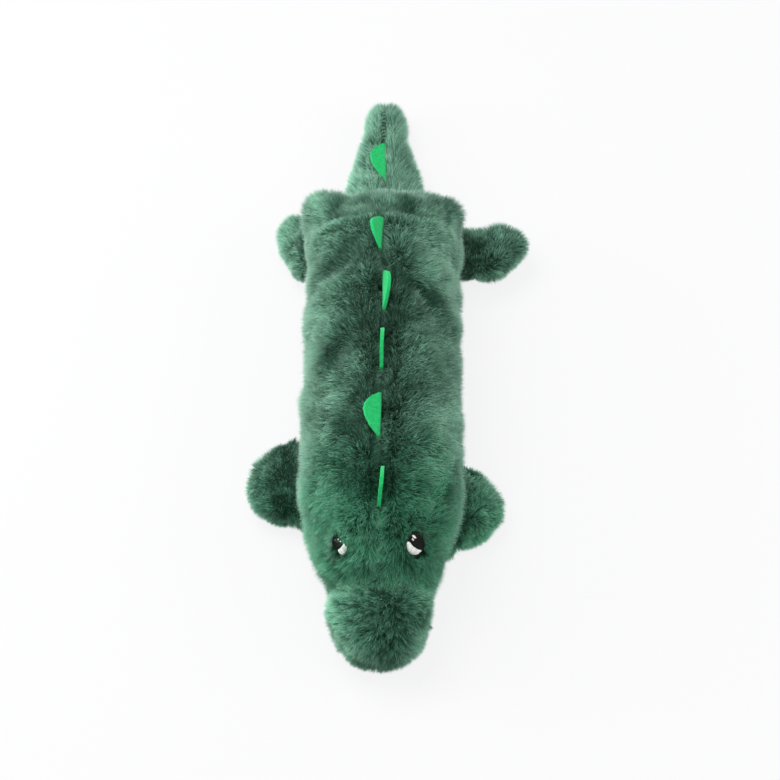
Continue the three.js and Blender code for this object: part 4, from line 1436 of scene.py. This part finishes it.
def make_thread_material(name, dark, pale, roughness, shine):
    """Rayon embroidery thread: smooth, twisted filament that shines along its length."""
    material, tree, shader = new_material(
        name, {"Roughness": roughness, "Specular IOR Level": shine}
    )
    twist = object_noise(tree, 0.5, 2.0)
    strands = object_noise(tree, 0.16, 2.0)
    dress(tree, shader, twist, [(0.3, dark), (0.7, pale)], strands, 0.05, 0.6)
    return material


black_thread = make_thread_material("black rayon thread", "#040504", "#101210", 0.6, 0.15)
white_thread = make_thread_material("white rayon thread", "#c9ccc6", "#f4f5f0", 0.42, 0.4)
THREAD_PITCH = 0.52 * MM
THREAD_HALF_WIDTH = THREAD_PITCH * 0.56  # the threads press against each other
SHORTEST_STITCH = 0.7 * MM
SCAN_STEPS = 97  # places tried along each row of stitches
THREAD_SIDES = 6
THREAD_STEPS = 9


def eye_surface(eye):
    """A smooth sheet through the tops of the solid eye: its height at any place."""
    tops = []
    for part in ("white", "black"):
        mesh = nodes[f"eye_{part}_{eye.name}"].data
        points, corners = coordinates(mesh), triangles_of(mesh)
        a, b, c = (points[corners[:, k]] for k in range(3))
        up = unit(np.cross(b - a, c - a))[:, 2]
        tops.append(((a + b + c) / 3)[up > 0.2])
    tops = np.concatenate(tops)

    def terms(x, y):
        x, y = x - eye.middle[0], y - eye.middle[1]
        return np.stack([np.ones_like(x), x, y, x * x, y * y, x * y], 1)

    fit = np.linalg.lstsq(terms(tops[:, 0], tops[:, 1]), tops[:, 2], rcond=None)[0]
    return lambda x, y: terms(x, y) @ fit


def tube_faces(first, rings, sides):
    """The faces of one tube and of its two ends, from the number of its first point."""
    faces = []
    for ring in range(rings - 1):
        for k in range(sides):
            a = first + ring * sides + k
            b = first + ring * sides + (k + 1) % sides
            faces.append((a, b, b + sides, a + sides))
    faces.append([first + k for k in reversed(range(sides))])
    faces.append([first + (rings - 1) * sides + k for k in range(sides)])
    return faces


def thread_piece(name, points, faces, material):
    """The tubes of some threads as one piece."""
    mesh = bpy.data.meshes.new(name)
    mesh.from_pydata([tuple(p) for p in points], [], faces)
    mesh.polygons.foreach_set("use_smooth", np.ones(len(faces), bool))
    piece = add_mesh(name, mesh)
    face_outwards(piece)
    piece.data.materials.append(material)
    return piece


def on_eye(eye, surface, across, along, lift):
    """Points on the eye, from places across and along it and heights above its cloth."""
    spot = eye.middle[:2] + across[:, None] * eye.across + along[:, None] * eye.along
    step = 0.5 * MM
    z = surface(spot[:, 0], spot[:, 1])
    fall_x = (surface(spot[:, 0] + step, spot[:, 1]) - z) / step
    fall_y = (surface(spot[:, 0], spot[:, 1] + step) - z) / step
    normal = unit(np.stack([-fall_x, -fall_y, np.ones_like(z)], 1))
    return np.stack([spot[:, 0], spot[:, 1], z], 1) + normal * lift[:, None], normal


def satin(name, eye, surface, inside, lengthwise, base, material):
    """Satin stitch: threads side by side over a shape, each diving into the cloth at its ends."""
    points, faces = [], []
    half_w, half_l = EYE_WIDTH / 2, EYE_LENGTH / 2
    span, rows = (half_l, half_w) if lengthwise else (half_w, half_l)
    random = np.random.RandomState(len(name))
    for row in np.arange(-rows, rows + THREAD_PITCH / 2, THREAD_PITCH):
        scan = np.linspace(-span, span, SCAN_STEPS)
        fixed = np.full(SCAN_STEPS, row)
        place = (fixed, scan) if lengthwise else (scan, fixed)
        covered = np.concatenate([[False], inside(*place), [False]])
        edges = np.flatnonzero(covered[1:] != covered[:-1])
        for first, last in zip(edges[::2], edges[1::2]):
            start, end = scan[first], scan[min(last, SCAN_STEPS) - 1]
            if end - start < SHORTEST_STITCH:
                continue
            share = np.linspace(0, 1, THREAD_STEPS)
            run = start + (end - start) * share
            wander = row + random.normal(0, 0.03 * MM)
            beside = np.full_like(run, wander)
            across, along = (beside, run) if lengthwise else (run, beside)
            crown = 1 - np.clip((across / half_w) ** 2 + (along / half_l) ** 2, 0, 1)
            arch = np.sin(np.pi * share) ** 0.4
            lift = base + 0.75 * MM * crown + 0.45 * MM * (arch - 1)
            middle, normal = on_eye(eye, surface, across, along, lift)
            ahead = unit(np.gradient(middle, axis=0))
            sideways = np.cross(ahead, normal)
            for s in range(THREAD_STEPS):
                for k in range(THREAD_SIDES):
                    turn = 2 * math.pi * (k + 0.5) / THREAD_SIDES
                    points.append(
                        middle[s]
                        + sideways[s] * math.cos(turn) * THREAD_HALF_WIDTH
                        + normal[s] * math.sin(turn) * THREAD_HALF_WIDTH * 0.8
                    )
            first_point = len(points) - THREAD_STEPS * THREAD_SIDES
            faces += tube_faces(first_point, THREAD_STEPS, THREAD_SIDES)
    return thread_piece(name, points, faces, material)


def in_oval(across, along, middle_across, middle_along, half_across, half_along):
    return ((across - middle_across) / half_across) ** 2 + (
        (along - middle_along) / half_along
    ) ** 2 <= 1


def eye_white_zone(across, along):
    """The white: inside the black outline, outside the pupil, at the near and inner end."""
    half_w, half_l = EYE_WIDTH / 2, EYE_LENGTH / 2
    inside = in_oval(across, along, -0.12 * half_w, -0.06 * half_l, 0.84 * half_w, 0.93 * half_l)
    sideways = across * math.cos(EYE_TILT) + along * math.sin(EYE_TILT)
    upwards = along * math.cos(EYE_TILT) - across * math.sin(EYE_TILT)
    pupil = in_oval(sideways, upwards, 0.3 * half_w, 0.3 * half_l, 1.05 * half_w, 0.66 * half_l)
    return inside & ~pupil & (upwards < 0.02 * half_l)


def eye_black_zone(across, along):
    half_w, half_l = EYE_WIDTH / 2, EYE_LENGTH / 2
    return in_oval(across, along, 0, 0, half_w, half_l) & ~eye_white_zone(across, along)


def eye_spark_zone(across, along):
    half_w, half_l = EYE_WIDTH / 2, EYE_LENGTH / 2
    big = in_oval(across, along, -0.5 * half_w, 0.34 * half_l, 0.22 * half_w, 0.14 * half_l)
    small = in_oval(across, along, -0.52 * half_w, 0.06 * half_l, 0.2 * half_w, 0.09 * half_l)
    return big | small


def seen_through_slit(eye, zone):
    """The part of a zone that the lids of pile leave free."""
    return lambda across, along: zone(across, along) & (
        eye.beside_slit(across, along) < SLIT_HALF_WIDTH
    )


for eye in EYES:
    surface = eye_surface(eye)
    for part, zone, lengthwise, base, material, slot in (
        ("black", eye_black_zone, False, 0.0, black_thread, "black_thread"),
        ("white", eye_white_zone, True, 0.12 * MM, white_thread, "white_thread"),
        ("spark", eye_spark_zone, True, 0.5 * MM, white_thread, "white_thread"),
    ):
        name = f"eye_{part}_{eye.name}"
        seen = seen_through_slit(eye, zone)
        piece = satin(name + "_stitches", eye, surface, seen, lengthwise, base, material)
        finish(piece, "sleeve", slot, name)

# The thread that closes the end of the tail

TAIL_STITCHES = 9
STITCH_ROW = (209 * MM, 233 * MM)  # from the first stitch to the last, along the tail
STITCH_RADIUS = 0.34 * MM
closing_thread = make_thread_material(
    "dark green polyester thread", "#06130d", "#12281c", 0.7, 0.15
)


def tail_stitches():
    """Slip stitches across the tail's top seam, pulled a little into its pile."""
    points, faces = [], []
    random = np.random.RandomState(61)
    share = np.linspace(0, 1, THREAD_STEPS)
    arch = np.sin(np.pi * share) ** 0.5
    for number, y in enumerate(np.linspace(*STITCH_ROW, TAIL_STITCHES)):
        slant, reach = random.uniform(-0.7, 0.9) * MM, random.uniform(1.5, 2.2) * MM
        x = (share - 0.5) * 2 * reach - 1.0 * MM
        path = np.stack([x, y + slant * (share - 0.5) * 2, np.zeros(THREAD_STEPS)], 1)
        path[:, 2] = [skin_height(tail_skin, px, py) for px, py in path[:, :2]]
        path[:, 2] += (-5.1 + 2.5 * number / TAIL_STITCHES + 2.1 * arch) * MM
        first = len(points)
        for place in path:
            for k in range(THREAD_SIDES):
                turn = 2 * math.pi * k / THREAD_SIDES
                ring = np.array([0.0, math.cos(turn), math.sin(turn)])
                points.append(place + STITCH_RADIUS * ring)
        faces += tube_faces(first, THREAD_STEPS, THREAD_SIDES)
    return thread_piece("tail_stitches", points, faces, closing_thread)


finish(tail_stitches(), "tail", "black_thread")

# The wadding


def make_wadding_material():
    """Siliconised polyester wadding: white, matt, with soft lumps and loose crimped fibres."""
    material, tree, shader = new_material(
        "siliconised polyester wadding",
        {
            "Roughness": 0.95,
            "Specular IOR Level": 0.1,
            "Sheen Weight": 0.3,
            "Subsurface Weight": 0.1,
            "Subsurface Radius": (0.004, 0.004, 0.004),
        },
    )
    fibre = object_noise(tree, 0.7, 5.0, (1.0, 0.4, 1.0))
    whites = [(0.3, "#d9d8d2"), (0.6, "#f0efea"), (0.85, "#fbfaf6")]
    dress(tree, shader, fibre, whites, fibre, 0.5, 0.8)
    return material


wadding = make_wadding_material()
WADDING_BODIES = {
    "head_stuffing": ("sleeve", 9.0),
    "snout_stuffing": ("sleeve", 4.2),
    "tail_stuffing": ("tail", 3.4),
    "paw_stuffing_front_left": ("front_left_paw", 5.4),
    "paw_stuffing_front_right": ("front_right_paw", 8.4),
    "paw_stuffing_rear_left": ("rear_left_paw", 3.4),
    "paw_stuffing_rear_right": ("rear_right_paw", 3.4),
}


def wad(node, sunk, seed, cloth_skin):
    """Wadding pressed into the hollow that it fills: it keeps clear of the cloth, in soft lumps."""
    piece = form_from(node + "_wadding", [node], 1.8 * MM)
    mesh = piece.data
    points, normals = coordinates(mesh), vertex_normals(mesh)
    room = room_behind(mesh, points, normals)
    lumps = 0.5 * waves(seed, 12 * MM)(points) + 0.25 * waves(seed + 1, 5 * MM)(points)
    fall = neighbour_average(mesh, np.minimum((sunk + lumps) * MM, 0.36 * room), 3)
    points -= normals * fall[:, None]
    if cloth_skin:
        top = np.array([skin_height(cloth_skin, x, y) for x, y in points[:, :2]])
        points[:, 2] = np.minimum(points[:, 2], np.maximum(top - 2 * CLOTH, points[:, 2].min()))
    set_coordinates(mesh, points)
    activate(piece)
    bpy.ops.object.shade_smooth()
    mesh.materials.append(wadding)
    return piece


for number, (node, (body, sunk)) in enumerate(WADDING_BODIES.items()):
    cloth_skin = sleeve_cloth_skin if body == "sleeve" else None
    piece = wad(node, sunk, 500 + 10 * number, cloth_skin)
    bends = HINGES.get(body)
    finish(piece, None if bends else body, "wadding", node, padded=0.8)
    if bends:
        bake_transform(piece)

# The hook-and-loop fastener


def make_tape_material():
    """Woven nylon tape: fine cross ribs, a little shine on the yarn, dyed to match the fur."""
    material, tree, shader = new_material(
        "woven nylon fastener tape",
        {"Roughness": 0.55, "Specular IOR Level": 0.4, "Sheen Weight": 0.3},
    )
    where = add_node(tree, "ShaderNodeTexCoord")
    rib = add_node(
        tree,
        "ShaderNodeTexWave",
        {"wave_type": "BANDS", "bands_direction": "X"},
        {"Vector": where.outputs["Object"], "Scale": 1 / (2 * math.pi * 0.35 * MM) / 3.2,
         "Distortion": 0.4},
    )
    ribs = rib.outputs["Fac"]
    dress(tree, shader, ribs, [(0.0, "#0e2a1d"), (1.0, "#2a5a43")], ribs, 0.15, 0.7)
    return material


tape_cloth = make_tape_material()
HOOK_PITCH = 1.5 * MM
WIRE = 0.11 * MM  # its radius
WIRE_BEND = 0.32 * MM
TAPE_THICKNESS = 0.5 * MM


def loop_wires(places, ups, turn, radius, arc, seed):
    """Bent nylon wires that stand on a tape: whole arches for loops, part arches for hooks."""
    random = np.random.RandomState(seed)
    steps, sides = 6, 3
    points, faces = [], []
    for place, up in zip(places, ups):
        heading = random.uniform(-turn, turn)
        ahead = unit(np.array([[math.cos(heading), math.sin(heading), 0.0]]))[0]
        ahead = ahead - up * (ahead @ up)
        across = np.cross(up, ahead)
        size = radius * random.uniform(0.85, 1.15)
        first = len(points)
        for step in range(steps + 1):
            angle = arc * step / steps
            forward, upward = size * (1 - math.cos(angle)), size * 1.6 * math.sin(angle)
            centre = place + ahead * forward + up * upward
            outward = -ahead * math.cos(angle) + up * math.sin(angle)
            for k in range(sides):
                turned = 2 * math.pi * k / sides
                points.append(
                    centre + (outward * math.cos(turned) + across * math.sin(turned)) * WIRE
                )
        faces += tube_faces(first, steps + 1, sides)
    return points, faces


def fastener(name, node, skin, sunk, facing, arc):
    """Half of the fastener: a tape that follows the cloth, with its rows of wires on one face."""
    low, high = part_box(node)
    deselect()
    bpy.ops.mesh.primitive_grid_add(x_subdivisions=44, y_subdivisions=6, size=1)
    piece = bpy.context.object
    piece.name = name
    grid = coordinates(piece.data)
    x = grid[:, 0] * (high[0] - low[0])
    y = (low[1] + high[1]) / 2 + grid[:, 1] * (high[1] - low[1])
    corner = (np.abs(grid[:, 0]) > 0.49) & (np.abs(grid[:, 1]) > 0.4)
    x = np.where(corner, x * 0.975, x)
    z = np.array([skin_height(skin, a, b) for a, b in zip(x, y)]) - sunk
    set_coordinates(piece.data, np.stack([x, y, z], 1))
    modify(piece, "SOLIDIFY", thickness=TAPE_THICKNESS, offset=0)
    modify(piece, "BEVEL", width=0.12 * MM, segments=2, limit_method="ANGLE")
    rows = np.arange(low[1] + HOOK_PITCH, high[1] - HOOK_PITCH / 2, HOOK_PITCH)
    columns = np.arange(low[0] + HOOK_PITCH, high[0] - HOOK_PITCH / 2, HOOK_PITCH)
    spots = np.array([(a, b) for a in columns for b in rows])
    heights = np.array([skin_height(skin, a, b) for a, b in spots]) - sunk
    places = np.column_stack([spots, heights + facing * 0.2 * MM])
    ups = np.tile([0.0, 0.0, facing], (len(places), 1))
    points, faces = loop_wires(places, ups, 0.6, WIRE_BEND, arc, len(node))
    mesh = bpy.data.meshes.new(name + "_wires")
    mesh.from_pydata([tuple(p) for p in points], [], faces)
    wires = add_mesh(name + "_wires", mesh)
    activate(wires)
    piece.select_set(True)
    bpy.context.view_layer.objects.active = piece
    bpy.ops.object.join()
    face_outwards(piece)
    bpy.ops.object.shade_smooth_by_angle(angle=math.radians(40))
    piece.data.materials.append(tape_cloth)
    return piece


finish(
    fastener("hook_tape", "hook_strip", sleeve_cloth_skin, CLOTH + 0.3 * MM, -1, 2.2),
    "sleeve",
    "fastener",
    "hook_strip",
)
finish(
    fastener("loop_tape", "loop_strip", flap_cloth_skin, -0.3 * MM, 1, math.pi),
    "flap",
    "fastener",
    "loop_strip",
)

# The pouch and the bottle


def make_lining_material():
    """Plain-woven polyester taffeta: thin, with a faint weave and a soft shine on the folds."""
    material, tree, shader = new_material(
        "polyester taffeta lining",
        {
            "Roughness": 0.5,
            "Specular IOR Level": 0.35,
            "Sheen Weight": 0.25,
            "Sheen Roughness": 0.3,
        },
    )
    where = add_node(tree, "ShaderNodeTexCoord")
    bands = []
    for direction in ("Y", "X"):
        wave = add_node(
            tree,
            "ShaderNodeTexWave",
            {"wave_type": "BANDS", "bands_direction": direction},
            {"Vector": where.outputs["Object"], "Scale": 1 / (20 * 0.4 * MM), "Distortion": 0.2},
        )
        bands.append(wave.outputs["Fac"])
    weave = add_node(tree, "ShaderNodeMath", {"operation": "MULTIPLY"}, {0: bands[0], 1: bands[1]})
    threads = weave.outputs[0]
    dress(tree, shader, threads, [(0.0, "#163428"), (1.0, "#2d5a46")], threads, 0.1, 0.5)
    return material


WALL = 0.35 * MM  # of the pouch's cloth and of the bottle
POUCH_NECK = 17.5 * MM  # the radius of the pouch's closed end


def spun(name, profile, height, steps):
    """A shell spun round the bottle's axis from (along, radius) places."""
    mesh = bpy.data.meshes.new(name)
    mesh.from_pydata(
        [(0, along, height + radius) for along, radius in profile],
        [(k, k + 1) for k in range(len(profile) - 1)],
        [],
    )
    piece = add_mesh(name, mesh)
    activate(piece)
    bpy.ops.object.mode_set(mode="EDIT")
    bpy.ops.mesh.select_all(action="SELECT")
    bpy.ops.mesh.spin(steps=steps, angle=2 * math.pi, center=(0, 0, height), axis=(0, 1, 0))
    bpy.ops.mesh.select_all(action="SELECT")
    bpy.ops.mesh.remove_doubles(threshold=0.02 * MM)
    bpy.ops.object.mode_set(mode="OBJECT")
    face_outwards(piece)
    return piece


def round_axis(points, height):
    """Each point's radius from the bottle's axis and its turn round it."""
    return (
        np.hypot(points[:, 0], points[:, 2] - height),
        np.arctan2(points[:, 0], points[:, 2] - height),
    )


def set_radius(points, height, radius, turn):
    points[:, 0] = radius * np.sin(turn)
    points[:, 2] = height + radius * np.cos(turn)
    return points


def lining_pouch():
    """The bag that holds the bottle: a thin tube, closed at the head, creased where it is slack."""
    low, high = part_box("lining_pouch")
    height, widest = (low[2] + high[2]) / 2, high[0] - 0.3 * MM
    shoulder = 60 * MM  # from the closed end to where the tube has its full width
    profile = [(low[1] + 1.2 * MM, 0.0)]
    for k in range(1, 33):
        share = k / 32
        along = low[1] + 1.2 * MM + shoulder * share**1.15
        swell_share = math.sin(share * math.pi / 2)
        profile.append((along, POUCH_NECK + (widest - POUCH_NECK) * swell_share**2.2))
    body = np.linspace(profile[-1][0], high[1], 60)[1:]
    profile += [(along, widest) for along in body]
    piece = spun("bottle_pouch", profile, height, 120)
    points = coordinates(piece.data)
    radius, turn = round_axis(points, height)
    slack = np.clip((points[:, 1] - low[1]) / (20 * MM), 0, 1)
    creases = np.sin(points[:, 1] / (3.1 * MM) + 2.5 * np.sin(2 * turn)) ** 8
    slump = 0.2 + 0.2 * waves(611, 14 * MM)(points) + 0.3 * creases
    radius -= slack * (radius > 20 * MM) * MM * slump
    set_coordinates(piece.data, set_radius(points, height, radius, turn))
    modify(piece, "SOLIDIFY", thickness=WALL, offset=-1)
    activate(piece)
    bpy.ops.object.shade_smooth()
    piece.data.materials.append(make_lining_material())
    return piece


def make_bottle_material():
    """Blow-moulded PET: clear, thin and glossy, with faint flow ripples and scuffs."""
    material, tree, shader = new_material(
        "blow-moulded clear PET",
        {
            "Base Color": linear("#d8e9ee"),
            "Roughness": 0.06,
            "IOR": 1.575,
            "Transmission Weight": 0.95,
            "Specular IOR Level": 0.5,
        },
    )
    dress(tree, shader, None, None, object_noise(tree, 6.0, 2.0), 0.25, 0.4)
    return material


def make_cap_material(name, dark, pale, gloss):
    """Moulded polyolefin: waxy and slightly clouded, with a fine spark-eroded grain."""
    material, tree, shader = new_material(
        name,
        {"Roughness": gloss, "IOR": 1.5, "Subsurface Weight": 0.08,
         "Subsurface Radius": (0.002, 0.002, 0.002)},
    )
    grain = object_noise(tree, 0.5, 4.0)
    dress(tree, shader, grain, [(0.3, dark), (0.7, pale)], grain, 0.04, 0.6)
    return material


SHOULDER_Y = -36 * MM  # where the bottle's side turns in to its shoulder
SHOULDER = 31 * MM  # how long the shoulder is
CAP_GRIPS = 144  # steps round the cap: ridges and grooves by turns


def bottle():
    """A half-litre bottle: ribs round its waist, a sloping shoulder, a ringed neck, five feet."""
    low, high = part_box("bottle")
    height, widest = (low[2] + high[2]) / 2, high[0]
    base = high[1]
    profile = [(base - 7 * MM, 0.0), (base - 6 * MM, 6 * MM), (base - 2.4 * MM, 12 * MM)]
    profile += [
        (base - 9 * MM + 9 * MM * math.sin(a), widest - 11 * MM + 11 * MM * math.cos(a))
        for a in np.linspace(math.radians(80), 0, 9)
    ]
    rib_pitch, rib_depth = 19.5 * MM, 1.3 * MM
    for along in np.linspace(base - 11 * MM, SHOULDER_Y, 100):
        rib = math.cos((along - 8 * MM) / rib_pitch * 2 * math.pi)
        dent = smooth_step(np.array([rib]), 0.8, 1.0)[0]
        profile.append((along, widest - rib_depth * dent))
    neck = 12.3 * MM
    for share in np.linspace(0.05, 1, 18):
        along = SHOULDER_Y - SHOULDER * share
        wide = (0.5 + 0.5 * math.cos(math.pi * share)) ** 0.9
        profile.append((along, neck + (widest - neck) * wide))
    ring = 16 * MM
    profile += [(-68 * MM, neck), (-70 * MM, neck), (-70.2 * MM, ring), (-71.8 * MM, ring)]
    profile += [(-72 * MM, neck), (-75 * MM, neck)]
    profile += [(low[1] + 0.4 * MM, 11.9 * MM), (low[1], 11.5 * MM)]
    piece = spun("drinks_bottle", profile, height, 120)
    points = coordinates(piece.data)
    radius, turn = round_axis(points, height)
    foot = smooth_step(points[:, 1], base - 12 * MM, base - 1 * MM) * (radius > 5 * MM)
    lobe = (0.5 - 0.5 * np.cos(5 * turn)) ** 1.5
    points[:, 1] -= 5 * MM * foot * (1 - lobe)
    radius -= 2.2 * MM * foot * (1 - lobe) * (radius > 14 * MM)
    set_coordinates(piece.data, set_radius(points, height, radius, turn))
    modify(piece, "SOLIDIFY", thickness=WALL, offset=-1)
    activate(piece)
    bpy.ops.object.shade_smooth_by_angle(angle=math.radians(50))
    piece.data.materials.append(make_bottle_material())
    return piece


def bottle_cap():
    """A screw cap with a knurled skirt and its tamper ring."""
    low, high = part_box("bottle_cap")
    height, widest = (low[2] + high[2]) / 2, high[0]
    front, back = low[1], high[1]
    inner = 12.9 * MM
    profile = [
        (front, 0.0), (front, widest - 1.4 * MM), (front + 0.4 * MM, widest - 0.5 * MM),
        (front + 1.2 * MM, widest), (back - 3.4 * MM, widest), (back - 3.2 * MM, widest - 0.7 * MM),
        (back - 2.8 * MM, widest - 0.7 * MM), (back - 2.6 * MM, widest), (back, widest),
        (back, inner), (front + 1.5 * MM, inner), (front + 1.5 * MM, 0.0),
    ]
    piece = spun("screw_cap", profile, height, CAP_GRIPS)
    points = coordinates(piece.data)
    radius, turn = round_axis(points, height)
    groove = np.round(turn / (2 * math.pi / CAP_GRIPS)).astype(int) % 2
    skirt = (radius > widest - 0.2 * MM) & (points[:, 1] < back - 3.3 * MM)
    radius -= 0.45 * MM * groove * skirt
    set_coordinates(piece.data, set_radius(points, height, radius, turn))
    activate(piece)
    bpy.ops.object.shade_smooth_by_angle(angle=math.radians(30))
    piece.data.materials.append(
        make_cap_material("moulded white polypropylene", "#e3e7ea", "#f3f6f7", 0.38)
    )
    return piece


finish(lining_pouch(), "sleeve", "lining", "lining_pouch")
finish(bottle(), "sleeve", "bottle_plastic", "bottle")
finish(bottle_cap(), "sleeve", "cap_plastic", "bottle_cap")

squeaker = make_cap_material("moulded natural HDPE", "#cfcfc4", "#e4e4da", 0.45)
for node in ("squeaker_case", "squeaker_reed"):
    nodes[node].data.materials.clear()
    nodes[node].data.materials.append(squeaker)
